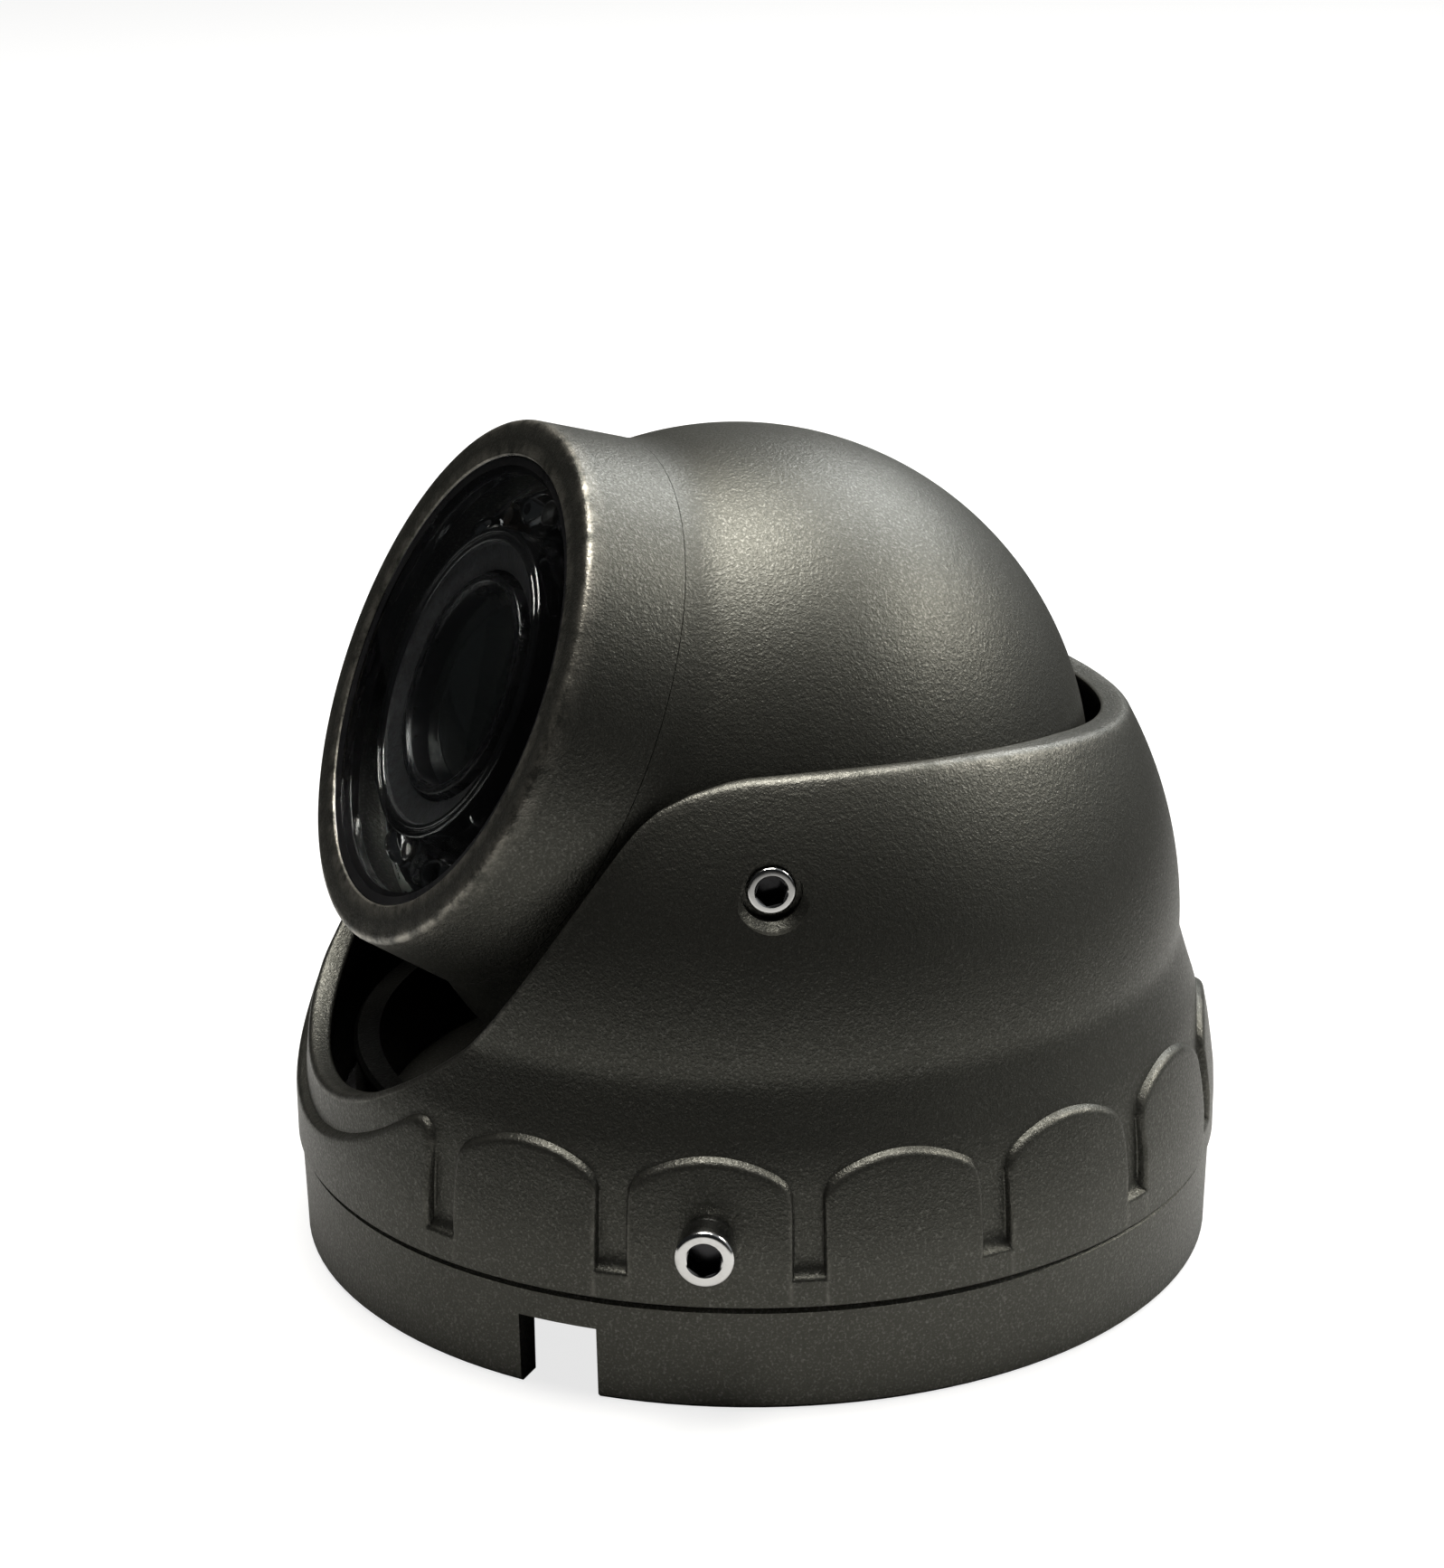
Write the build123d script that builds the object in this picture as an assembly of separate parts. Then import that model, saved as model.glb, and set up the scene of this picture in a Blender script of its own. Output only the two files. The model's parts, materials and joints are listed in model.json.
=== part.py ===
"""Small surface-mount dome camera: an eyeball held in a ribbed cover that turns on a base ring.

All sizes are in mm. +Z is up, the base's bottom face is z = 0 and the origin is on the pan axis.
The cover's opening faces -Y. The eyeball's own parts are drawn with its lens axis on +Z and
its centre at the origin, then placed in the cover at the rest swing and rest tilt.
"""
import math
import os

from build123d import *

# ---- overall sizes -------------------------------------------------------------------------
BAND_R = 47.0            # widest radius, over the cover's ribbed band
BALL_R = 35.3            # eyeball
BASE_H = 10.25           # height of the base ring
BASE_DRAFT = 0.25        # the base ring is this much narrower at the bottom
BASE_STEP = 0.35         # the cover stands this far proud of the base ring
RUN_GAP = 0.3            # air between parts that move past each other
EASY_FIT = 0.05          # radial room round a screw or a pin that stays put
CUP_Z0 = 9.2             # underside of the cup that the eyeball sits in
CUP_FLOOR = 1.8          # from there up to the eyeball's lowest point
BALL_Z = CUP_Z0 + CUP_FLOOR + BALL_R
BALL_Y = -1.8            # its centre sits this far ahead of the pan axis
REST_SWING = 6.5         # how far the lens points off the cover's front, degrees
REST_TILT = 25.0         # how far the lens points above level, degrees

# ---- cover ---------------------------------------------------------------------------------
COVER_Z0 = BASE_H + RUN_GAP
COVER_WALL = 2.4
DOME_R = BAND_R - 4.0
DOME_Z = 32.3
BORE_R = BAND_R - 3.6    # inside of the band
RIM_Z = BALL_Z + 11.4    # top of the rim at the sides
RIM_ARC_R = 157.0        # the rim dips to the back along this arc
MOUTH_R = BALL_R - 4.1   # half width of the opening at the front
MOUTH_Z = BALL_Z + 4.7   # height of its arc's centre
RIB_COUNT = 16
RIB_GAP = 2.9            # slot between two ribs
RIB_Z0 = 13.3            # floor of the slots
RIB_SPRING_Z = 22.1      # where a rib's arch leaves its straight sides
RIB_TOP_Z = 24.7
RIB_CORNER = 2.6
FRONT_PITCHES = 3        # the wide rib under the opening takes the place of this many
LIP = 3.9                # plain strip between the opening and the wide rib

# ---- base ----------------------------------------------------------------------------------
BASE_WALL = 3.0
DECK_T = 2.4
DECK_BORE_R = BAND_R - 15.5
COLLAR_R = BORE_R - 2.4
COLLAR_WALL = 2.6
GROOVE_Z = 17.3          # the lock screws' tips run in a groove round the collar
GROOVE_W = 3.8
GROOVE_DEPTH = 1.2
COLLAR_TOP = GROOVE_Z + GROOVE_W / 2 + 0.9
NOTCH_AZ = 49.3
NOTCH_W = 8.0
NOTCH_H = 7.2
MOUNT_R = BAND_R - 13.0  # radius of the circle of fixing holes
MOUNT_COUNT = 3
MOUNT_HOLE_R = 2.25
MOUNT_BOSS_R = 4.3
MOUNT_HEAD_R = 4.2

# ---- fasteners -----------------------------------------------------------------------------
LOCK_R = 1.5             # socket cap screws that hold the cover to the base
LOCK_HEAD_R = 2.75
LOCK_HEAD_H = 3.0
LOCK_KEY = 3.0
LOCK_WASHER_T = 1.1
LOCK_AZIMUTHS = (67.5, -157.5, -67.5)
SET_R = 2.25             # set screws that lock the eyeball
SET_SINK = 0.6           # their outer ends lie this far under the dome
SET_KEY = 2.6
SET_RAISE = 2.0          # they stand a little above the eyeball's centre
SET_AZIMUTHS = (77.7, -77.7)
SET_POCKET_R = 2.8
SET_POCKET_D = 1.3
CRADLE_SCREW_R = 1.25
CRADLE_HEAD_R = 2.2
CRADLE_AZIMUTHS = (110.0, 180.0, -110.0)

# ---- cradle and cup ------------------------------------------------------------------------
CRADLE_BOSS_R = BAND_R - 8.8    # radius of the circle of its screws
CRADLE_PAD_Z = 22.6
CRADLE_PAD_T = 2.4
ARM_W = 8.0
CUP_R = BALL_R * 0.595
CUP_TOP = CUP_Z0 + 7.8
CUP_BORE_R = 8.0
SOCKET_WALL = 2.6
SOCKET_TOP = CUP_Z0 + 5.2
SOCKET_FLOOR_T = 2.0
SWING_SIDE = 7.5         # travel each side of straight ahead, degrees
STOP_W = 4.0
PAD_R = CUP_R - 4.5      # centre of the friction ring's groove
PAD_W = 3.0
PAD_T = 1.2

# ---- eyeball -------------------------------------------------------------------------------
NOSE_R = BALL_R * 0.742         # front edge of the snout
NOSE_END = BALL_R * 0.949       # its front face, from the eyeball's centre
NOSE_ROOT_R = BALL_R * 0.795    # where it meets the eyeball
NOSE_ROUND = 0.9
BALL_BORE_R = BALL_R - 10.7
WINDOW_R = NOSE_R - 3.8
WINDOW_T = 1.2
WINDOW_SINK = 0.45       # the glass sits this far behind the front face
LEDGE_R = WINDOW_R - 1.4
SEAL_T = 0.3
BOARD_R = LEDGE_R - 0.6
BOARD_T = 1.6
LED_COUNT = 12
LED_R = 1.9
LED_CIRCLE_R = BOARD_R - LED_R - 0.6
LED_BOARD_TOP = NOSE_END - 6.0
SHIELD_R = LED_CIRCLE_R - LED_R - 0.4
SHIELD_BORE_R = SHIELD_R - 4.1
LENS_R = SHIELD_BORE_R - 0.4
LENS_GLASS_R = LENS_R - 1.2
LENS_THREAD_R = 6.0
GROMMET_R = 5.0
CABLE_R = 2.2

ball_centre = Vector(0, BALL_Y, BALL_Z)
eye_place = Location(ball_centre) * Location((0, 0, 0), (0, 0, REST_SWING)) \
    * Location((0, 0, 0), (90 - REST_TILT, 0, 0))
cup_place = Location((0, BALL_Y, 0), (0, 0, REST_SWING))
nose_root_z = math.sqrt(BALL_R ** 2 - NOSE_ROOT_R ** 2)
window_top = NOSE_END - WINDOW_SINK
window_back = window_top - WINDOW_T
ledge_z = window_back - SEAL_T


def turned(points):
    """A solid of revolution about Z from (radius, height) points joined by lines."""
    outline = Polyline([(r, 0, z) for r, z in points], close=True)
    return revolve(make_face(outline), axis=Axis.Z)


def tube(outer, inner, z0, z1):
    return Pos(0, 0, z0) * extrude(Circle(outer) - Circle(inner), amount=z1 - z0)


def rod(radius, z0, z1):
    return Pos(0, 0, z0) * extrude(Circle(radius), amount=z1 - z0)


def hex_prism(across, z0, z1):
    return Pos(0, 0, z0) * extrude(RegularPolygon(across / 2, 6, major_radius=False), amount=z1 - z0)


def radial(azimuth, radius, z):
    """A frame at an azimuth measured from -Y towards +X, with its own Z pointing outwards."""
    a = math.radians(azimuth)
    out = Vector(math.sin(a), -math.cos(a), 0)
    return Plane(origin=out * radius + Vector(0, 0, z), x_dir=out.cross(Vector(0, 0, 1)), z_dir=out)


def at_azimuth(azimuth):
    return Location((0, 0, 0), (0, 0, azimuth))


# ---- cover ---------------------------------------------------------------------------------
def dome_r(z):
    return math.sqrt(DOME_R ** 2 - (z - DOME_Z) ** 2)


# the plain skirt between the ribs, from the band up to the foot of the dome
SKIRT = ((BAND_R - 1.0, 14.0), (BAND_R - 1.15, 17.9), (BAND_R - 1.6, 22.4), (BAND_R - 2.15, 25.0),
         (BAND_R - 2.75, 26.8), (BAND_R - 3.25, 28.4), (BAND_R - 3.72, 30.0))
DOME_FOOT_Z = 32.8


def skirt_body(grow):
    """The cover's outside as one turned solid, with its skirt let out by `grow`."""
    foot = [(r + grow, z) for r, z in SKIRT]
    top = DOME_Z + DOME_R
    flare = Spline([(r, 0, z) for r, z in foot] + [(dome_r(DOME_FOOT_Z), 0, DOME_FOOT_Z)],
                   tangents=[(0, 0, 1), (DOME_Z - DOME_FOOT_Z, 0, dome_r(DOME_FOOT_Z))])
    dome = ThreePointArc((dome_r(DOME_FOOT_Z), 0, DOME_FOOT_Z),
                         (dome_r(RIM_Z), 0, RIM_Z), (0, 0, top))
    rest = Polyline((0, 0, top), (0, 0, COVER_Z0), (foot[0][0], 0, COVER_Z0),
                    (foot[0][0], 0, foot[0][1]))
    return revolve(make_face(Wire([flare, dome] + list(rest.edges()))), axis=Axis.Z)


def band_body():
    """The same outside over the ribs: a straight band that leans in at the top."""
    return turned([(0, COVER_Z0), (BAND_R, COVER_Z0), (BAND_R, 15.8), (BAND_R - 0.25, 18.0),
                   (BAND_R - 0.85, 22.0), (BAND_R - 1.55, 25.4), (0, 25.4)])


def rib_window(pitches, top_z, spring_z):
    """The arch-topped outline of a rib, as a cutter running outwards from the pan axis."""
    half = math.sin(math.radians(180 / RIB_COUNT * pitches)) * BAND_R - RIB_GAP / 2
    outline = make_face([
        Line((-half, 0, 0), (half, 0, 0)),
        Line((half, 0, 0), (half, 0, spring_z)),
        ThreePointArc((half, 0, spring_z), (0, 0, top_z), (-half, 0, spring_z)),
        Line((-half, 0, spring_z), (-half, 0, 0)),
    ])
    corners = [v for v in outline.vertices() if v.Z > spring_z - 0.01]
    return extrude(fillet(corners, RIB_CORNER), amount=60, dir=(0, -1, 0))


def mouth_outline(grow, top):
    """The opening seen from the front, let out by `grow`."""
    r = MOUTH_R + grow
    low = MOUTH_Z - r
    return make_face([
        ThreePointArc((-r, 0, MOUTH_Z), (0, 0, low), (r, 0, MOUTH_Z)),
        Line((r, 0, MOUTH_Z), (r, 0, RIM_Z - 4.2)),
        ThreePointArc((r, 0, RIM_Z - 4.2), (r + 0.75, 0, RIM_Z - 1.6), (r + 2.8, 0, RIM_Z + 0.1)),
        Polyline((r + 2.8, 0, RIM_Z + 0.1), (r + 2.8, 0, top), (-r - 2.8, 0, top),
                 (-r - 2.8, 0, RIM_Z + 0.1)),
        ThreePointArc((-r - 2.8, 0, RIM_Z + 0.1), (-r - 0.75, 0, RIM_Z - 1.6), (-r, 0, RIM_Z - 4.2)),
        Line((-r, 0, RIM_Z - 4.2), (-r, 0, MOUTH_Z)),
    ])


def make_cover():
    outside = skirt_body(0)
    band = band_body() - rod(BORE_R, 0, 60)
    foot_ring = band & rod(60, 0, RIB_Z0)
    ribs = foot_ring
    window = rib_window(1, RIB_TOP_Z, RIB_SPRING_Z)
    pitch = 360 / RIB_COUNT
    first = FRONT_PITCHES / 2 + 0.5
    for k in range(RIB_COUNT - FRONT_PITCHES):
        ribs += band & (at_azimuth((first + k) * pitch) * window)
    wide = rib_window(FRONT_PITCHES, RIB_TOP_Z, RIB_TOP_Z - 0.6)
    lip_cut = extrude(mouth_outline(LIP, 70), amount=60, dir=(0, -1, 0))
    ribs += (band & wide) - lip_cut
    shell = outside + ribs

    # the hollow: the band's bore, then the inside of the dome
    inner = DOME_R - COVER_WALL
    foot_z = 29.0
    arc = ThreePointArc((inner, 0, DOME_Z), (inner * math.cos(0.7), 0, DOME_Z + inner * math.sin(0.7)),
                        (0, 0, DOME_Z + inner))
    sides = Polyline((0, 0, DOME_Z + inner), (0, 0, 0), (BORE_R, 0, 0), (BORE_R, 0, 20.0),
                     (inner + 1.0, 0, foot_z), (inner, 0, DOME_Z))
    hollow = revolve(make_face(Wire([arc] + list(sides.edges()))), axis=Axis.Z)
    bosses = None
    for azimuth in CRADLE_AZIMUTHS:
        post = Location(radial(azimuth, CRADLE_BOSS_R, 0).origin) * rod(3.4, CRADLE_PAD_Z + CRADLE_PAD_T, 37)
        bosses = post if bosses is None else bosses + post
    hollow -= bosses
    shell -= hollow
    shell -= Location(ball_centre) * Sphere(BALL_R + RUN_GAP + 0.05)

    # the dipping rim and the opening
    rim_y = 60.0
    drop = RIM_ARC_R - math.sqrt(RIM_ARC_R ** 2 - rim_y ** 2)
    over = make_face([
        ThreePointArc((0, -rim_y, RIM_Z - drop), (0, 0, RIM_Z), (0, rim_y, RIM_Z - drop)),
        Polyline((0, rim_y, RIM_Z - drop), (0, rim_y, 90), (0, -rim_y, 90), (0, -rim_y, RIM_Z - drop)),
    ])
    shell -= extrude(over, amount=60, dir=(1, 0, 0), both=True)
    shell -= Pos(0, -5, 0) * extrude(mouth_outline(0, 70), amount=60, dir=(0, -1, 0))

    for azimuth in LOCK_AZIMUTHS:
        face = radial(azimuth, 0, GROOVE_Z)
        shell -= face * rod(LOCK_R + EASY_FIT, 30, 60)
        shell -= face * rod(LOCK_HEAD_R + 0.35, BAND_R - 0.25, 60)
    for azimuth in SET_AZIMUTHS:
        face = set_frame(azimuth)
        shell -= face * rod(SET_R + EASY_FIT, BALL_R - 2, 60)
        shell -= face * rod(SET_POCKET_R, set_seat() - SET_POCKET_D, 60)
        shell -= face * turned([(0, set_seat() - 0.35), (SET_POCKET_R, set_seat() - 0.35),
                                (SET_POCKET_R + 1.6, set_seat() + 1.25), (0, set_seat() + 1.25)])
    for azimuth in CRADLE_AZIMUTHS:
        spot = Location(radial(azimuth, CRADLE_BOSS_R, 0).origin)
        shell -= spot * rod(CRADLE_SCREW_R + EASY_FIT, 20, 33)
    return shell


def set_frame(azimuth):
    """A set screw's frame: its Z runs level outwards over the eyeball's centre."""
    a = math.radians(azimuth)
    out = Vector(math.sin(a), -math.cos(a), 0)
    start = Vector(*ball_centre) + Vector(0, 0, SET_RAISE)
    return Plane(origin=start, x_dir=out.cross(Vector(0, 0, 1)), z_dir=out)


def set_seat():
    """How far from the eyeball's centre the set screws come out of the dome."""
    a = math.radians(SET_AZIMUTHS[0])
    along = math.cos(a) * abs(BALL_Y)
    reach = dome_r(BALL_Z + SET_RAISE)
    return math.sqrt(reach ** 2 - (math.sin(a) * BALL_Y) ** 2) - along


# ---- fasteners -----------------------------------------------------------------------------
def cap_screw(shank_r, head_r, head_h, key, length):
    """A socket cap screw whose head stands on z = 0 with its shank below."""
    head = fillet(rod(head_r, 0, head_h).edges().sort_by(Axis.Z)[-1:], head_r * 0.12)
    screw = head + rod(shank_r, -length, 0)
    return screw - hex_prism(key, head_h * 0.4, head_h + 1)


def pan_head(shank_r, head_r, head_h, length):
    """A small cross-recessed screw whose head stands on z = 0 with its shank below."""
    head = fillet(rod(head_r, 0, head_h).edges().sort_by(Axis.Z)[-1:], head_h * 0.45)
    screw = head + rod(shank_r, -length, 0)
    slot = Box(head_r * 1.1, head_r * 0.22, head_h) + Box(head_r * 0.22, head_r * 1.1, head_h)
    return screw - Pos(0, 0, head_h) * slot


def make_lock_screws():
    tip = COLLAR_R - GROOVE_DEPTH + RUN_GAP + 0.1
    seat = BAND_R - 0.25 + LOCK_WASHER_T
    screw = cap_screw(LOCK_R, LOCK_HEAD_R, LOCK_HEAD_H, LOCK_KEY, seat - tip)
    return [radial(a, seat, GROOVE_Z) * screw for a in LOCK_AZIMUTHS]


def make_lock_washers():
    ring = tube(LOCK_HEAD_R - 0.15, LOCK_R + EASY_FIT, 0, LOCK_WASHER_T)
    return [radial(a, BAND_R - 0.25, GROOVE_Z) * ring for a in LOCK_AZIMUTHS]


def make_set_screws():
    start = BALL_R + RUN_GAP
    top = set_seat() - SET_SINK
    body = rod(SET_R, start, top)
    body = chamfer(body.edges().filter_by(GeomType.CIRCLE), 0.25)
    body -= hex_prism(SET_KEY, top - 2.2, top + 1)
    return [set_frame(a) * body for a in SET_AZIMUTHS]


def make_cradle_screws():
    screw = pan_head(CRADLE_SCREW_R, CRADLE_HEAD_R, 1.6, 8.0)
    flip = Location((0, 0, 0), (180, 0, 0))
    out = []
    for azimuth in CRADLE_AZIMUTHS:
        spot = radial(azimuth, CRADLE_BOSS_R, CRADLE_PAD_Z).origin
        out.append(Location(spot) * flip * screw)
    return out


# ---- base ----------------------------------------------------------------------------------
def make_base():
    top_r = BAND_R - BASE_STEP
    low_r = top_r - BASE_DRAFT
    ring = turned([(low_r - 0.4, 0), (low_r, 0.4), (top_r, BASE_H - 0.3), (top_r - 0.3, BASE_H),
                   (COLLAR_R, BASE_H), (COLLAR_R, GROOVE_Z - GROOVE_W / 2),
                   (COLLAR_R - GROOVE_DEPTH, GROOVE_Z - GROOVE_W / 2),
                   (COLLAR_R - GROOVE_DEPTH, GROOVE_Z + GROOVE_W / 2),
                   (COLLAR_R, GROOVE_Z + GROOVE_W / 2), (COLLAR_R, COLLAR_TOP - 0.4),
                   (COLLAR_R - 0.4, COLLAR_TOP), (COLLAR_R - COLLAR_WALL, COLLAR_TOP),
                   (COLLAR_R - COLLAR_WALL, BASE_H), (DECK_BORE_R, BASE_H),
                   (DECK_BORE_R, BASE_H - DECK_T), (low_r - BASE_WALL, BASE_H - DECK_T),
                   (low_r - BASE_WALL, 0)])
    for k in range(MOUNT_COUNT):
        spot = at_azimuth(NOTCH_AZ + 60 + 120 * k) * Pos(0, -MOUNT_R, 0)
        ring += spot * rod(MOUNT_BOSS_R, 0, BASE_H)
        ring -= spot * rod(MOUNT_HOLE_R, -1, BASE_H + 5)
        ring -= spot * turned([(0, BASE_H + 0.01), (MOUNT_HEAD_R, BASE_H + 0.01),
                               (MOUNT_HOLE_R, BASE_H - 2.0), (0, BASE_H - 2.0)])
    notch = Box(NOTCH_W, 12, 2 * NOTCH_H, align=(Align.CENTER, Align.CENTER, Align.CENTER))
    ring -= at_azimuth(NOTCH_AZ) * Pos(0, -BAND_R + 1, 0) * notch
    return ring


def make_felt():
    """A thin wiper ring on the collar's shoulder that keeps dust out of the seam."""
    return tube(BORE_R - 0.5, COLLAR_R, BASE_H, BASE_H + 1.2)


# ---- cradle and cup ------------------------------------------------------------------------
def make_cradle():
    floor_z = CUP_Z0 - RUN_GAP
    socket = CUP_R + RUN_GAP
    outer = socket + SOCKET_WALL
    body = turned([(CUP_BORE_R + 1, floor_z - SOCKET_FLOOR_T), (outer, floor_z - SOCKET_FLOOR_T),
                   (outer, SOCKET_TOP), (socket, SOCKET_TOP), (socket, floor_z),
                   (CUP_BORE_R + 1, floor_z)])
    body = Pos(0, BALL_Y, 0) * body
    reach = COLLAR_R - COLLAR_WALL - 0.6
    for azimuth in CRADLE_AZIMUTHS:
        turn = at_azimuth(azimuth)
        web = Pos(0, -(outer - 4 + reach) / 2, 0) * Box(
            ARM_W * 0.5, reach - outer + 4, CRADLE_PAD_Z + CRADLE_PAD_T - BASE_H - 0.8,
            align=(Align.CENTER, Align.CENTER, Align.MIN))
        pad = Pos(0, -CRADLE_BOSS_R + 0.2, CRADLE_PAD_Z) * Box(
            ARM_W, 5.6, CRADLE_PAD_T, align=(Align.CENTER, Align.CENTER, Align.MIN))
        body += turn * Pos(0, 0, BASE_H + 0.8) * web
        body += turn * pad
    body -= Pos(0, BALL_Y, 0) * rod(socket, floor_z, 40)
    body -= Location(ball_centre) * Sphere(BALL_R + 0.8)
    for azimuth in CRADLE_AZIMUTHS:
        spot = Location(radial(azimuth, CRADLE_BOSS_R, 0).origin)
        body -= spot * rod(CRADLE_SCREW_R + EASY_FIT, 0, 40)
        body -= spot * rod(CRADLE_HEAD_R + 0.3, 0, CRADLE_PAD_Z)
    # the window the cup's stop travels in
    half_w = STOP_W / 2 + 0.4
    sweep = SWING_SIDE + 0.8
    for turn in (-sweep, -sweep / 2, 0.0, sweep / 2, sweep):
        slot = Box(2 * half_w, SOCKET_WALL + 4, SOCKET_TOP, align=(Align.CENTER, Align.CENTER, Align.MIN))
        body -= Location((0, BALL_Y, 0), (0, 0, 90 + turn)) * Pos(0, -socket - 1.5, SOCKET_TOP - 3.4) * slot
    return body


def make_cup():
    seat = BALL_R + RUN_GAP
    bowl = tube(CUP_R, CUP_BORE_R, CUP_Z0, CUP_TOP)
    bowl += at_azimuth(90) * Pos(0, -CUP_R - 1.2, SOCKET_TOP - 2.6) * Box(
        STOP_W, 3.6, 2.2, align=(Align.CENTER, Align.CENTER, Align.MIN))
    bowl -= Pos(0, 0, BALL_Z) * Sphere(seat)
    bowl -= Pos(0, 0, BALL_Z) * friction_groove(seat)
    return bowl


def friction_groove(seat):
    """The groove in the bowl for the friction ring: a band of the seat, let down by its depth."""
    band = tube(PAD_R + PAD_W / 2, PAD_R - PAD_W / 2, -seat - 5, 0)
    return band & (Sphere(seat + PAD_T) - Sphere(seat - 0.5))


def make_friction_ring():
    seat = BALL_R + RUN_GAP
    band = tube(PAD_R + PAD_W / 2, PAD_R - PAD_W / 2, -seat - 5, 0)
    ring = band & (Sphere(seat + PAD_T) - Sphere(seat))
    return Pos(0, 0, BALL_Z) * ring


# ---- eyeball: shells and window ------------------------------------------------------------
SHELL_LAP = 3.2          # the snout's sleeve runs this far into the ball
BALL_FLOOR_Z = 4.3 - BALL_R     # inside of the ball at its back


def make_ball():
    ball = Sphere(BALL_R) & Pos(0, 0, nose_root_z - 50) * Box(90, 90, 100)
    cavity = turned([(0, BALL_FLOOR_Z), (8.0, BALL_FLOOR_Z), (BALL_BORE_R * 0.69, BALL_FLOOR_Z + 4.5),
                     (BALL_BORE_R, -0.34 * BALL_R),
                     (BALL_BORE_R, nose_root_z + 1), (0, nose_root_z + 1)])
    ball -= cavity
    ball -= rod(BALL_BORE_R + 1.4, nose_root_z - SHELL_LAP, nose_root_z + 1)
    ball -= rod(GROMMET_R, -BALL_R - 5, BALL_FLOOR_Z + 5)
    return ball


def make_snout():
    lap_r = BALL_BORE_R + 1.4 - EASY_FIT
    low = nose_root_z - SHELL_LAP + 0.2
    body = turned([(BALL_BORE_R, low), (lap_r, low), (lap_r, nose_root_z), (NOSE_ROOT_R, nose_root_z),
                   (NOSE_R, NOSE_END), (WINDOW_R + 0.1, NOSE_END), (WINDOW_R + 0.1, ledge_z),
                   (LEDGE_R, ledge_z), (LEDGE_R, ledge_z - 1.2), (BALL_BORE_R - 1.6, ledge_z - 3.0),
                   (BALL_BORE_R - 1.6, nose_root_z + 2.0), (BALL_BORE_R, nose_root_z)])
    front = [e for e in body.edges().filter_by(GeomType.CIRCLE) if abs(e.radius - NOSE_R) < 0.01]
    body = fillet(front, NOSE_ROUND)
    inner = [e for e in body.edges().filter_by(GeomType.CIRCLE)
             if abs(e.radius - WINDOW_R - 0.1) < 0.01 and e.center().Z > NOSE_END - 0.1]
    return chamfer(inner, 0.2)


def make_window():
    return chamfer(rod(WINDOW_R, window_back, window_top).edges(), 0.15)


def make_window_seal():
    return tube(WINDOW_R, LEDGE_R, ledge_z, window_back)


def make_window_bead():
    """The thin black bead that fills the step round the glass."""
    return turned([(WINDOW_R + 0.1, window_back), (WINDOW_R + 0.1, window_top + 0.15),
                   (WINDOW_R - 0.75, window_top), (WINDOW_R, window_top)]) - make_window()


# ---- eyeball: camera ------------------------------------------------------------------------
LED_BOARD_Z = LED_BOARD_TOP - BOARD_T
SENSOR_BOARD_TOP = LED_BOARD_TOP - 19.5
MAIN_BOARD_TOP = SENSOR_BOARD_TOP - 7.5
STACK_BOARD_R = BALL_BORE_R - 3.1
STACK_BOARD_FLAT = STACK_BOARD_R - 3.5


def post_spots():
    """The four screw places, between LEDs on their own circle."""
    r = LED_CIRCLE_R
    return [(r, 0), (0, r), (-r, 0), (0, -r)]


def make_led_board():
    board = tube(BOARD_R, LENS_R + 0.5, LED_BOARD_Z, LED_BOARD_TOP)
    for x, y in post_spots():
        board -= Pos(x, y, 0) * rod(1.1, LED_BOARD_Z - 1, LED_BOARD_TOP + 1)
    return board


def make_leds():
    dome = rod(LED_R, 0, 0.7) + Pos(0, 0, 0.7) * (Sphere(LED_R) & Box(9, 9, 9, align=(
        Align.CENTER, Align.CENTER, Align.MIN)))
    flange = rod(LED_R + 0.3, 0, 0.35)
    led = dome + flange
    out = []
    for k in range(LED_COUNT):
        a = 2 * math.pi * (k + 0.5) / LED_COUNT
        out.append(Pos(LED_CIRCLE_R * math.cos(a), LED_CIRCLE_R * math.sin(a), LED_BOARD_TOP) * led)
    return out


def make_light_sensor():
    body = Pos(0, 0, 0.5) * Box(3.2, 2.4, 1.0) + rod(0.9, 1.0, 1.5)
    a = math.radians(120)
    return Pos(LED_CIRCLE_R * math.cos(a), LED_CIRCLE_R * math.sin(a), LED_BOARD_TOP) * body


def make_shield():
    return tube(SHIELD_R, SHIELD_BORE_R, LED_BOARD_TOP, window_back)


def make_lens_barrel():
    front = window_back - 0.5
    foot = SENSOR_BOARD_TOP + 4.4
    barrel = turned([(LENS_THREAD_R - 1, foot), (LENS_THREAD_R, foot), (LENS_THREAD_R, foot + 8.1),
                     (LENS_R - 2.6, foot + 9.6), (LENS_R, foot + 11.8), (LENS_R, front - 0.4),
                     (LENS_R - 0.4, front), (LENS_GLASS_R + 0.3, front), (LENS_GLASS_R, front - 0.4),
                     (LENS_GLASS_R, front - 2.6),
                     (LENS_THREAD_R + 0.6, front - 3.4), (LENS_THREAD_R - 1, front - 9.0)])
    return barrel


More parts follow.
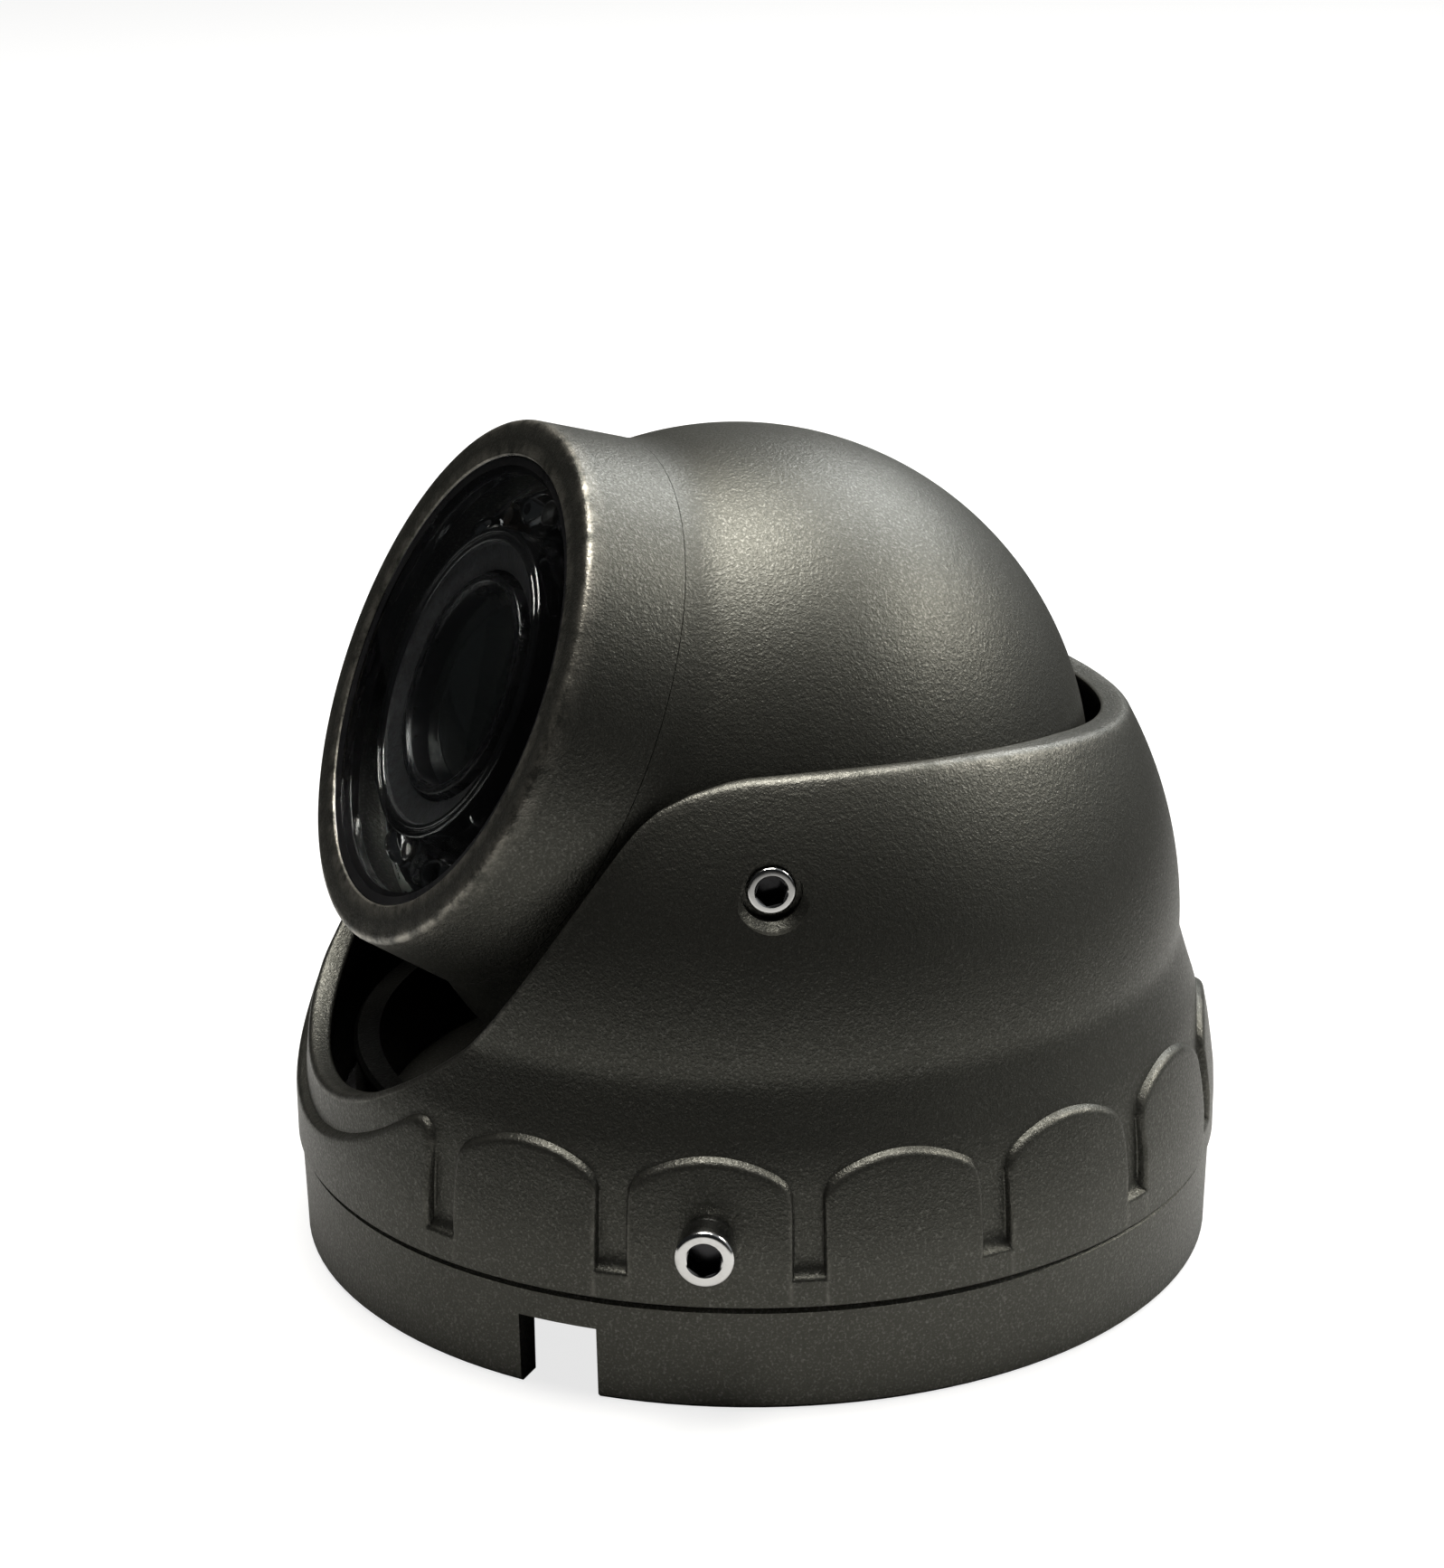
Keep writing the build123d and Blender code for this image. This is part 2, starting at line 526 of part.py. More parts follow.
def make_front_element():
    front = window_back - 0.9
    cap_r = 26.0
    rise = cap_r - math.sqrt(cap_r ** 2 - LENS_GLASS_R ** 2)
    outline = [Line((0, 0, front - 2.2), (LENS_GLASS_R, 0, front - 2.2)),
               Line((LENS_GLASS_R, 0, front - 2.2), (LENS_GLASS_R, 0, front - rise)),
               ThreePointArc((LENS_GLASS_R, 0, front - rise),
                             (LENS_GLASS_R / 2, 0, front - cap_r + math.sqrt(
                                 cap_r ** 2 - (LENS_GLASS_R / 2) ** 2)), (0, 0, front)),
               Line((0, 0, front), (0, 0, front - 2.2))]
    return revolve(make_face(outline), axis=Axis.Z)


def make_inner_element():
    return rod(LENS_THREAD_R - 1.2, SENSOR_BOARD_TOP + 9.0, SENSOR_BOARD_TOP + 12.0)


def make_lens_holder():
    side = 16.0
    block = Pos(0, 0, SENSOR_BOARD_TOP) * Box(side, side, 5.0, align=(Align.CENTER, Align.CENTER, Align.MIN))
    holder = block + rod(8.0, SENSOR_BOARD_TOP + 5.0, SENSOR_BOARD_TOP + 11.6)
    holder -= rod(LENS_THREAD_R + EASY_FIT, SENSOR_BOARD_TOP + 4.0, 30)
    holder -= Pos(0, 0, SENSOR_BOARD_TOP - 1) * Box(
        11.0, 11.0, 4.0, align=(Align.CENTER, Align.CENTER, Align.MIN))
    holder -= rod(4.4, SENSOR_BOARD_TOP, SENSOR_BOARD_TOP + 6)
    return holder


def make_ir_filter():
    return Pos(0, 0, SENSOR_BOARD_TOP + 2.55) * Box(8.4, 8.4, 0.7)


def make_image_sensor():
    package = Pos(0, 0, SENSOR_BOARD_TOP) * Box(8.0, 7.0, 1.3, align=(Align.CENTER, Align.CENTER, Align.MIN))
    return package


def board(top):
    plate = rod(STACK_BOARD_R, top - BOARD_T, top)
    for turn in (45, 135, 225, 315):
        plate -= Location((0, 0, 0), (0, 0, turn)) * Pos(STACK_BOARD_FLAT + 10, 0, top) * Box(20, 60, 9)
    for x, y in post_spots():
        plate -= Pos(x, y, 0) * rod(1.1, top - BOARD_T - 1, top + 1)
    return plate


def make_main_board():
    return board(MAIN_BOARD_TOP)


def make_sensor_board():
    return board(SENSOR_BOARD_TOP)


def make_chips():
    low = MAIN_BOARD_TOP - BOARD_T
    out = [Pos(0, 0, MAIN_BOARD_TOP) * Box(12, 12, 1.2, align=(Align.CENTER, Align.CENTER, Align.MIN))]
    for x, y, w, d, h in ((-8, 9, 5, 4, 1.2), (7, 9.5, 4, 3, 1.0), (-9, -3, 3, 5, 1.4)):
        out.append(Pos(x, y, low - h) * Box(w, d, h, align=(Align.CENTER, Align.CENTER, Align.MIN)))
    return out


def make_connector():
    low = MAIN_BOARD_TOP - BOARD_T
    shell = Pos(4, -7, low - 5) * Box(10, 5, 5, align=(Align.CENTER, Align.CENTER, Align.MIN))
    shell -= Pos(4, -7, low - 6) * Box(8.4, 3.4, 5, align=(Align.CENTER, Align.CENTER, Align.MIN))
    return shell


def make_pins():
    low = MAIN_BOARD_TOP - BOARD_T
    pin = Box(0.5, 0.5, 3.2, align=(Align.CENTER, Align.CENTER, Align.MAX))
    return [Pos(4 + 1.5 * k, -7, low - 1.0) * pin for k in (-2, -1, 0, 1, 2)]


def post(z0, z1, bore):
    return Pos(0, 0, z0) * extrude(RegularPolygon(2.0, 6, major_radius=False) - Circle(bore), amount=z1 - z0)


def make_standoffs():
    out = []
    for x, y in post_spots():
        out.append(Pos(x, y, 0) * post(MAIN_BOARD_TOP, SENSOR_BOARD_TOP - BOARD_T, 0.85))
        out.append(Pos(x, y, 0) * post(SENSOR_BOARD_TOP, LED_BOARD_Z, 0.85))
    return out


def make_board_screws():
    screw = pan_head(0.8, 1.6, 1.1, 5.0)
    flip = Location((0, 0, 0), (180, 0, 0))
    out = []
    for x, y in post_spots():
        out.append(Pos(x, y, LED_BOARD_TOP) * screw)
        out.append(Pos(x, y, MAIN_BOARD_TOP - BOARD_T) * flip * screw)
    return out


def make_frame():
    """The ring the boards hang from, wedged in the ball's bore."""
    z0 = LED_BOARD_Z - 4.6
    ring = tube(BALL_BORE_R - 1.6 - EASY_FIT, BOARD_R - 1.0, z0, LED_BOARD_Z)
    for x, y in post_spots():
        ring -= Pos(x, y, 0) * rod(2.5, z0 - 1, LED_BOARD_Z + 1)
    return ring


def make_grommet():
    neck = GROMMET_R - EASY_FIT
    tip = BALL_R - 1.2
    return turned([(CABLE_R, -tip), (neck - 0.5, -tip), (neck, -tip + 0.5), (neck, BALL_FLOOR_Z),
                   (neck + 2.0, BALL_FLOOR_Z), (neck + 2.0, BALL_FLOOR_Z + 1.8),
                   (CABLE_R, BALL_FLOOR_Z + 1.8)])


def save(name, shape, place=None):
    solids = []
    for item in (shape if isinstance(shape, list) else [shape]):
        solids += list(item.solids())
    if place is not None:
        solids = [place * s for s in solids]
    whole = solids[0] if len(solids) == 1 else Compound(children=solids)
    export_step(whole, f"parts/{name}.step")
    print(name, len(solids), round(whole.volume, 1))


def main():
    os.makedirs("parts", exist_ok=True)
    save("base_ring", make_base())
    save("felt_ring", make_felt())
    save("cover_housing", make_cover())
    save("lock_screws", make_lock_screws())
    save("lock_washers", make_lock_washers())
    save("set_screws", make_set_screws())
    save("cradle", make_cradle())
    save("cradle_screws", make_cradle_screws())
    save("swing_cup", make_cup(), cup_place)
    save("friction_ring", make_friction_ring(), cup_place)
    eye = {
        "ball_shell": make_ball, "snout_shell": make_snout,
        "window_glass": make_window, "window_seal": make_window_seal, "window_bead": make_window_bead,
        "led_board": make_led_board, "leds": make_leds, "light_sensor": make_light_sensor,
        "light_shield": make_shield, "lens_barrel": make_lens_barrel,
        "front_element": make_front_element, "inner_element": make_inner_element,
        "lens_holder": make_lens_holder, "ir_filter": make_ir_filter,
        "image_sensor": make_image_sensor, "sensor_board": make_sensor_board,
        "main_board": make_main_board, "board_chips": make_chips, "cable_socket": make_connector,
        "socket_pins": make_pins, "standoffs": make_standoffs, "board_screws": make_board_screws,
        "board_frame": make_frame, "ball_grommet": make_grommet,
    }
    for name, maker in eye.items():
        save(name, maker(), eye_place)


main()
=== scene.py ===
"""Looks for the small dome camera: painted castings, bright screws, and the lens stack behind its window.

Sizes are in mm and become metres when a mesh is made. Azimuths run from -Y, where the cover opens, towards
+X. Pieces of the eyeball are drawn about the lens axis, centred at the origin, and then put in their place.
"""
import json
import math

import bmesh
import bpy
import numpy as np
from mathutils import Matrix, Quaternion, Vector


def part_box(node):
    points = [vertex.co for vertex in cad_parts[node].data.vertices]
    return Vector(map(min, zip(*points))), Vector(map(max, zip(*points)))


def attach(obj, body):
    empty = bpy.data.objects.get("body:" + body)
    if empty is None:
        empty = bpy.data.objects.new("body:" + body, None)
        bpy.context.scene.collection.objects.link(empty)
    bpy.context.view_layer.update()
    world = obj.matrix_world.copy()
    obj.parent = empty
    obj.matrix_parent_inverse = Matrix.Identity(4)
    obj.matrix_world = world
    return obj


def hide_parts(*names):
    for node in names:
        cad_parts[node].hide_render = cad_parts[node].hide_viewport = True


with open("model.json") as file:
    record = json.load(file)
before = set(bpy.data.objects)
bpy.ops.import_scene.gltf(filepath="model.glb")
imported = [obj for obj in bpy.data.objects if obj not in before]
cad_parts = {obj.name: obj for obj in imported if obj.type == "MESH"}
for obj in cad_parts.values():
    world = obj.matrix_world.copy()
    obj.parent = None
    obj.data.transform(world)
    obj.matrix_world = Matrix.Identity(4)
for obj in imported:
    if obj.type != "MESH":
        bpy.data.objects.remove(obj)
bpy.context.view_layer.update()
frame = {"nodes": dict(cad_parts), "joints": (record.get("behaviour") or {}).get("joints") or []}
nodes = frame["nodes"]
joints = {joint["name"]: joint for joint in frame["joints"]}
MM = 0.001

# ---- camera and light ------------
VIEW_AZIMUTH = math.radians(72.75)     # from the cover's front round to its side
VIEW_ELEVATION = math.radians(22.04)
VIEW_DISTANCE = 0.36585
VIEW_ROLL = math.radians(0.55)
VIEW_HEIGHT = 0.0235                   # the camera circles this point on the pan axis
AIM_RIGHT = -0.00316
AIM_UP = 0.02057
FOCAL_MM = 81.84
SENSOR_MM = 36.0
LIT_HEIGHT = 0.04                      # the lights are aimed at this point on the pan axis


def view_axes():
    """The way from the object to the camera, then the camera's right and its up before it is aimed."""
    level = math.cos(VIEW_ELEVATION)
    back = Vector((level * math.sin(VIEW_AZIMUTH), -level * math.cos(VIEW_AZIMUTH), math.sin(VIEW_ELEVATION)))
    right = Vector((math.cos(VIEW_AZIMUTH), math.sin(VIEW_AZIMUTH), 0))
    return back, right, back.cross(right)


def add_object(name, data):
    thing = bpy.data.objects.new(name, data)
    bpy.context.scene.collection.objects.link(thing)
    return thing


def place_camera():
    back, right, up = view_axes()
    target = Vector((0, 0, VIEW_HEIGHT))
    camera = add_object("camera", bpy.data.cameras.new("camera"))
    camera.location = target + back * VIEW_DISTANCE
    aim = target + right * AIM_RIGHT + up * AIM_UP
    turn = (aim - camera.location).to_track_quat("-Z", "Y") @ Quaternion((0, 0, 1), -VIEW_ROLL)
    camera.rotation_mode = "QUATERNION"
    camera.rotation_quaternion = turn
    camera.data.sensor_fit = "VERTICAL"
    camera.data.sensor_height = SENSOR_MM
    camera.data.lens = FOCAL_MM
    camera.data.clip_start = 0.01
    bpy.context.scene.camera = camera


def room_axes():
    """Level right, and level forward from the object towards the camera: the studio is laid out in these."""
    right = Vector((math.cos(VIEW_AZIMUTH), math.sin(VIEW_AZIMUTH), 0))
    return right, Vector((right.y, -right.x, 0))


def soft_box(name, where, size, watts, tint=(1, 1, 1)):
    """An area light at `where` = (right, forward, up) in metres, aimed at the object."""
    right, forward = room_axes()
    light = bpy.data.lights.new(name, "AREA")
    light.shape = "RECTANGLE"
    light.size, light.size_y = size
    light.energy = watts
    light.color = tint
    lamp = add_object(name, light)
    centre = Vector((0, 0, LIT_HEIGHT))
    lamp.location = centre + right * where[0] + forward * where[1] + Vector((0, 0, where[2]))
    lamp.rotation_mode = "QUATERNION"
    lamp.rotation_quaternion = (centre - lamp.location).to_track_quat("-Z", "Y")


def light_studio():
    """Soft boxes above, to the right and behind, in a room that is brightest behind on the right."""
    soft_box("right_box", (0.76, -0.16, 0.61), (0.40, 0.30), 4.8, (1.0, 0.96, 0.88))
    soft_box("back_box", (0.42, -0.62, 0.62), (0.46, 0.32), 4.8, (0.97, 0.99, 1.0))
    soft_box("overhead", (-0.02, -0.10, 0.92), (0.56, 0.50), 13.0, (1.0, 0.97, 0.91))
    world = bpy.data.worlds.new("studio")
    bpy.context.scene.world = world
    world.use_nodes = True
    tree = world.node_tree
    n = Nodes(tree)
    right, forward = room_axes()
    bright_side = (right * 0.75 - forward * 0.45 + Vector((0, 0, 0.5))).normalized()
    where = n.add("ShaderNodeTexCoord").outputs["Generated"]
    lean = n.add("ShaderNodeVectorMath", {0: where, 1: bright_side}, operation="DOT_PRODUCT").outputs["Value"]
    room = tree.nodes["Background"]
    n.feed(room.inputs["Color"], (0.93, 0.97, 1.0, 1))
    n.feed(room.inputs["Strength"], n.ramp(lean, 0.35, 0.95, 0.015, 0.35))
    sight = n.add("ShaderNodeBackground", {"Color": (1, 1, 1, 1), "Strength": 1.0})
    n.feed(tree.nodes["World Output"].inputs["Surface"], n.seen_or(room, sight))
    bpy.context.scene.view_settings.view_transform = "Standard"


# ---- materials ------------
FLOAT, COLOUR, VECTOR = "NodeSocketFloat", "NodeSocketColor", "NodeSocketVector"


def set_inputs(node, values):
    for name, value in values.items():
        node.inputs[name].default_value = value


class Nodes:
    """Short ways to add nodes to one tree; a value may be a number or another node's output."""

    def __init__(self, tree):
        self.tree = tree

    def add(self, kind, values=None, **settings):
        node = self.tree.nodes.new(kind)
        for name, value in settings.items():
            setattr(node, name, value)
        for name, value in (values or {}).items():
            self.feed(node.inputs[name], value)
        return node

    def feed(self, socket, value):
        if isinstance(value, bpy.types.NodeSocket):
            self.tree.links.new(value, socket)
        else:
            socket.default_value = value

    def math(self, operation, a, b=0.0):
        return self.add("ShaderNodeMath", {0: a, 1: b}, operation=operation).outputs[0]

    def times(self, a, b):
        return self.math("MULTIPLY", a, b)

    def plus(self, a, b):
        return self.math("ADD", a, b)

    def noise(self, where, scale, detail=2.0, rough=0.5):
        values = {"Vector": where, "Scale": scale, "Detail": detail, "Roughness": rough}
        return self.add("ShaderNodeTexNoise", values).outputs["Fac"]

    def ramp(self, value, low, high, to_low=0.0, to_high=1.0):
        values = {"Value": value, "From Min": low, "From Max": high, "To Min": to_low, "To Max": to_high}
        return self.add("ShaderNodeMapRange", values).outputs[0]

    def mix(self, share, a, b):
        return self.add("ShaderNodeMix", {0: share, 6: a, 7: b}, data_type="RGBA").outputs[2]

    def seen_or(self, otherwise, seen):
        """One shader where the camera looks straight at it, and another for everything else."""
        looked_at = self.add("ShaderNodeLightPath").outputs["Is Camera Ray"]
        both = {0: looked_at, 1: otherwise.outputs[0], 2: seen.outputs[0]}
        return self.add("ShaderNodeMixShader", both).outputs[0]

    def scaled(self, colour, gain):
        return self.add("ShaderNodeVectorMath", {0: colour, "Scale": gain}, operation="SCALE").outputs[0]


def new_group(name, inputs, outputs=(("Color", COLOUR), ("Roughness", FLOAT), ("Height", FLOAT))):
    """An empty shader node group that takes a place and these values, and its two end nodes' sockets."""
    tree = bpy.data.node_groups.new(name, "ShaderNodeTree")
    for label, kind, value in (("Vector", VECTOR, (0, 0, 0)), *inputs):
        tree.interface.new_socket(label, in_out="INPUT", socket_type=kind).default_value = value
    for label, kind in outputs:
        tree.interface.new_socket(label, in_out="OUTPUT", socket_type=kind)
    return Nodes(tree), tree.nodes.new("NodeGroupInput").outputs, tree.nodes.new("NodeGroupOutput").inputs


def cast_paint_group():
    """Satin paint on a casting: faint mottle, metal flecks, an orange-peel height, and lighter edges, which
    are paint rubbed thin and, on the snout, also a painted highlight.
    """
    n, given, out = new_group("cast_paint", [
        ("Tone", COLOUR, (0.1, 0.1, 0.09, 1)),
        ("Fleck Tone", COLOUR, (0.4, 0.4, 0.38, 1)), ("Edge Tone", COLOUR, (0.3, 0.3, 0.28, 1)),
        ("Fleck Scale", FLOAT, 2600.0), ("Fleck Share", FLOAT, 0.55), ("Mottle Scale", FLOAT, 90.0),
        ("Mottle Depth", FLOAT, 0.35), ("Roughness", FLOAT, 0.42), ("Edge", FLOAT, 0.0),
        ("Edge Share", FLOAT, 0.6)])
    where = given["Vector"]
    fleck = n.noise(where, given["Fleck Scale"], 1.5, 0.6)
    flecks = n.times(n.ramp(fleck, 0.52, 0.80), given["Fleck Share"])
    pits = n.ramp(n.noise(where, 1700.0, 2.0, 0.6), 0.26, 0.42, 0.85, 1.0)
    mottle = n.math("SUBTRACT", n.noise(where, given["Mottle Scale"], 5.0, 0.65), 0.5)
    gain = n.math("MULTIPLY_ADD", mottle, given["Mottle Depth"])
    gain.node.inputs[2].default_value = 1.0
    tone = n.scaled(given["Tone"], n.times(gain, pits))
    tone = n.mix(flecks, tone, given["Fleck Tone"])
    # lighter marked edges: rubbed paint, and where a finish turns them up strongly (the snout) a painted
    # highlight as well
    edge_wear_and_highlight = n.times(given["Edge"], n.ramp(n.noise(where, 420.0, 4.0, 0.7), 0.38, 0.62))
    edge_wear_and_highlight = n.times(edge_wear_and_highlight, given["Edge Share"])
    n.feed(out["Color"], n.mix(edge_wear_and_highlight, tone, given["Edge Tone"]))
    swing = n.times(n.math("SUBTRACT", fleck, 0.5), -0.30)
    rough = n.plus(given["Roughness"], swing)
    n.feed(out["Roughness"], n.math("SUBTRACT", rough, n.times(edge_wear_and_highlight, 0.10)))
    grain = n.noise(where, 1900.0, 3.0, 0.75)
    n.feed(out["Height"], n.plus(grain, n.times(fleck, 0.6)))
    return n.tree


def moulded_group():
    """Plastic, rubber or resin: two close tones, a fine grain and a patchy gloss."""
    n, given, out = new_group("moulded", [
        ("Tone", COLOUR, (0.02, 0.02, 0.02, 1)),
        ("Second Tone", COLOUR, (0.03, 0.03, 0.03, 1)), ("Grain Scale", FLOAT, 1200.0),
        ("Patch Scale", FLOAT, 160.0), ("Roughness", FLOAT, 0.4), ("Roughness Swing", FLOAT, 0.15)])
    patch = n.noise(given["Vector"], given["Patch Scale"], 4.0, 0.6)
    grain = n.noise(given["Vector"], given["Grain Scale"], 3.0, 0.6)
    both = n.plus(n.times(patch, 0.6), n.times(grain, 0.4))
    n.feed(out["Color"], n.mix(n.ramp(both, 0.35, 0.65), given["Tone"], given["Second Tone"]))
    swing = n.times(n.math("SUBTRACT", patch, 0.5), given["Roughness Swing"])
    n.feed(out["Roughness"], n.plus(given["Roughness"], swing))
    n.feed(out["Height"], grain)
    return n.tree


def turned_group():
    """Metal from a lathe: fine rings round the piece's own Z, a little staining and rubbed tone."""
    n, given, out = new_group("turned", [
        ("Tone", COLOUR, (0.6, 0.6, 0.6, 1)),
        ("Stain Tone", COLOUR, (0.35, 0.34, 0.32, 1)), ("Ring Scale", FLOAT, 3000.0),
        ("Stain Share", FLOAT, 0.35), ("Roughness", FLOAT, 0.2), ("Roughness Swing", FLOAT, 0.12)])
    parts = n.add("ShaderNodeSeparateXYZ", {0: given["Vector"]})
    x2 = n.math("POWER", parts.outputs["X"], 2.0)
    y2 = n.math("POWER", parts.outputs["Y"], 2.0)
    radius = n.math("SQRT", n.plus(x2, y2))
    wobble = n.times(n.noise(given["Vector"], 300.0, 2.0), 0.0006)
    rings = n.math("SINE", n.times(n.plus(radius, wobble), given["Ring Scale"]))
    stain = n.ramp(n.noise(given["Vector"], 700.0, 4.0, 0.7), 0.5, 0.75)
    stained = n.times(stain, given["Stain Share"])
    n.feed(out["Color"], n.mix(stained, given["Tone"], given["Stain Tone"]))
    swing = n.times(n.plus(stain, n.times(rings, 0.3)), given["Roughness Swing"])
    n.feed(out["Roughness"], n.plus(given["Roughness"], swing))
    n.feed(out["Height"], rings)
    return n.tree


def board_group():
    """A printed board: solder mask over raised tracks, with tinned dots."""
    n, given, out = new_group("printed_board", [
        ("Tone", COLOUR, (0.01, 0.01, 0.012, 1)),
        ("Track Tone", COLOUR, (0.03, 0.03, 0.032, 1)), ("Pad Tone", COLOUR, (0.45, 0.44, 0.42, 1)),
        ("Track Scale", FLOAT, 420.0), ("Roughness", FLOAT, 0.3)])
    brick = n.add("ShaderNodeTexBrick", {
        "Vector": given["Vector"], "Scale": given["Track Scale"], "Mortar Size": 0.12, "Color1": (0, 0, 0, 1),
        "Color2": (0, 0, 0, 1), "Mortar": (1, 1, 1, 1)})
    tracks = brick.outputs["Fac"]
    spots = n.add("ShaderNodeTexVoronoi", {"Vector": given["Vector"], "Scale": 330.0}).outputs["Distance"]
    pads = n.ramp(spots, 0.10, 0.14, 1.0, 0.0)
    tone = n.mix(tracks, given["Tone"], given["Track Tone"])
    n.feed(out["Color"], n.mix(pads, tone, given["Pad Tone"]))
    n.feed(out["Roughness"], n.math("SUBTRACT", given["Roughness"], n.times(pads, 0.1)))
    n.feed(out["Height"], n.plus(tracks, pads))
    return n.tree


def smudge_group():
    """Clear glass with faint wiped smears."""
    n, given, out = new_group("smudge", [
        ("Tone", COLOUR, (0.95, 0.97, 0.97, 1)),
        ("Smear Tone", COLOUR, (0.8, 0.85, 0.86, 1)), ("Roughness", FLOAT, 0.02), ("Smear", FLOAT, 0.05)],
        [("Color", COLOUR), ("Roughness", FLOAT)])
    smear = n.ramp(n.noise(given["Vector"], 110.0, 5.0, 0.7), 0.48, 0.75)
    n.feed(out["Color"], n.mix(smear, given["Tone"], given["Smear Tone"]))
    n.feed(out["Roughness"], n.plus(given["Roughness"], n.times(smear, given["Smear"])))
    return n.tree


GROUPS = {"paint": cast_paint_group(), "moulded": moulded_group(), "turned": turned_group(),
          "board": board_group(), "glass": smudge_group()}


def finish(name, kind, bump=0.0, depth=0.05, frame_at=None, shader=None, **values):
    """A material: one finish group with its own values, on a Principled shader.

    `frame_at` is the (place, turn) of the piece's own frame, for a pattern that runs round it."""
    material = bpy.data.materials.new(name)
    material.use_nodes = True
    tree = material.node_tree
    n = Nodes(tree)
    principled = tree.nodes["Principled BSDF"]
    set_inputs(principled, shader or {})
    where = n.add("ShaderNodeTexCoord").outputs["Object"]
    if frame_at is not None:
        own = {"Vector": where, "Location": frame_at[0], "Rotation": frame_at[1]}
        where = n.add("ShaderNodeMapping", own, vector_type="TEXTURE").outputs[0]
    group = n.add("ShaderNodeGroup", node_tree=GROUPS[kind])
    n.feed(group.inputs["Vector"], where)
    for label, value in values.items():
        value = (*value, 1) if isinstance(value, tuple) and len(value) == 3 else value
        group.inputs[label.replace("_", " ")].default_value = value
    if kind == "paint":
        mark = n.add("ShaderNodeAttribute", attribute_name="edge")
        n.feed(group.inputs["Edge"], mark.outputs["Fac"])
    n.feed(principled.inputs["Base Color"], group.outputs["Color"])
    n.feed(principled.inputs["Roughness"], group.outputs["Roughness"])
    if bump:
        relief = {"Strength": bump, "Distance": depth * MM, "Height": group.outputs["Height"]}
        n.feed(principled.inputs["Normal"], n.add("ShaderNodeBump", relief).outputs["Normal"])
    return material


def dress(material, name):
    nodes[name].data.materials.clear()
    nodes[name].data.materials.append(material)


# ---- places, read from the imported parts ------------
def mm_box(node):
    low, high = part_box(node)
    return low / MM, high / MM


ball_centre = Vector(joints["eyeball_tilt"]["pos_m"]) / MM
tilt_axis = Vector(joints["eyeball_tilt"]["axis"])
window_low, window_high = mm_box("window_glass")
lens_axis = ((window_low + window_high) / 2 - ball_centre).normalized()
eye_across = -tilt_axis
eye_up = lens_axis.cross(eye_across)
EYE = Matrix.Translation(ball_centre) @ Matrix((eye_across, eye_up, lens_axis)).transposed().to_4x4()
cover_low, cover_high = mm_box("cover_housing")
BAND_R = (cover_high.x - cover_low.x) / 2
COVER_Z0 = cover_low.z
BALL_R = mm_box("ball_shell")[1].z - ball_centre.z


# ---- mesh making ------------
def bend(start, corner, end, shares):
    """Points of a quadratic arc at these shares of its way; the three may be rows of points."""
    return [(1 - t) ** 2 * start + 2 * t * (1 - t) * corner + t * t * end for t in shares]


def rounded(corners, steps=5):
    """A closed outline from (radius, height, rounding) corners, each turned into a short arc."""
    points = []
    count = len(corners)
    for i, (r, z, size) in enumerate(corners):
        here = np.array((r, z), float)
        if size <= 0:
            points.append(here)
            continue
        before = np.array(corners[i - 1][:2], float) - here
        after = np.array(corners[(i + 1) % count][:2], float) - here
        reach = [min(size, np.linalg.norm(leg) * 0.49) for leg in (before, after)]
        start = here + before / np.linalg.norm(before) * reach[0]
        end = here + after / np.linalg.norm(after) * reach[1]
        points += bend(start, here, end, np.linspace(0, 1, steps))
    return points


def mesh_of(name, points, faces, place=None, edge=None, zones=None):
    """A plain mesh in metres from points in mm, its doubles merged and its faces turned outwards."""
    mesh = bpy.data.meshes.new(name)
    mesh.from_pydata([tuple(p) for p in points], [], faces)
    if zones is not None:
        mesh.polygons.foreach_set("material_index", zones)
    if edge is not None:
        mesh.attributes.new("edge", "FLOAT", "POINT").data.foreach_set("value", np.asarray(edge, np.float32))
    tidy = bmesh.new()
    tidy.from_mesh(mesh)
    bmesh.ops.remove_doubles(tidy, verts=tidy.verts, dist=1e-4)
    bmesh.ops.recalc_face_normals(tidy, faces=tidy.faces)
    tidy.to_mesh(mesh)
    tidy.free()
    mesh.transform(Matrix.Scale(MM, 4) @ (place or Matrix.Identity(4)))
    return mesh


def lathe(name, outline, steps=160, place=None, zone=None, worn_and_lit_edges=()):
    """A turned solid: the closed (radius, height) outline swept once round Z.

    `zone` gives the number of the finish for a place on the outline, and the last argument lists the
    (radius, height, reach) of edges made lighter: rubbed paint, and on the snout a painted highlight too."""
    outline = [tuple(p[:2]) for p in outline]
    rows, points, faces, zones = len(outline), [], [], []
    for k in range(steps):
        a = 2 * math.pi * k / steps
        points += [(r * math.cos(a), r * math.sin(a), z) for r, z in outline]
    for k in range(steps):
        here, there = k * rows, (k + 1) % steps * rows
        for i in range(rows):
            j = (i + 1) % rows
            if outline[i][0] < 1e-6 and outline[j][0] < 1e-6:
                continue
            faces.append((here + i, there + i, there + j, here + j))
            middle = [(outline[i][c] + outline[j][c]) / 2 for c in (0, 1)]
            zones.append(zone(*middle) if zone else 0)
    edge_wear_and_highlight = [max([0.0, *(1 - math.hypot(r - a, z - b) / reach for a, b, reach in worn_and_lit_edges)]) for r, z in outline]
    return mesh_of(name, points, faces, place, edge=edge_wear_and_highlight * steps if worn_and_lit_edges else None, zones=zones)


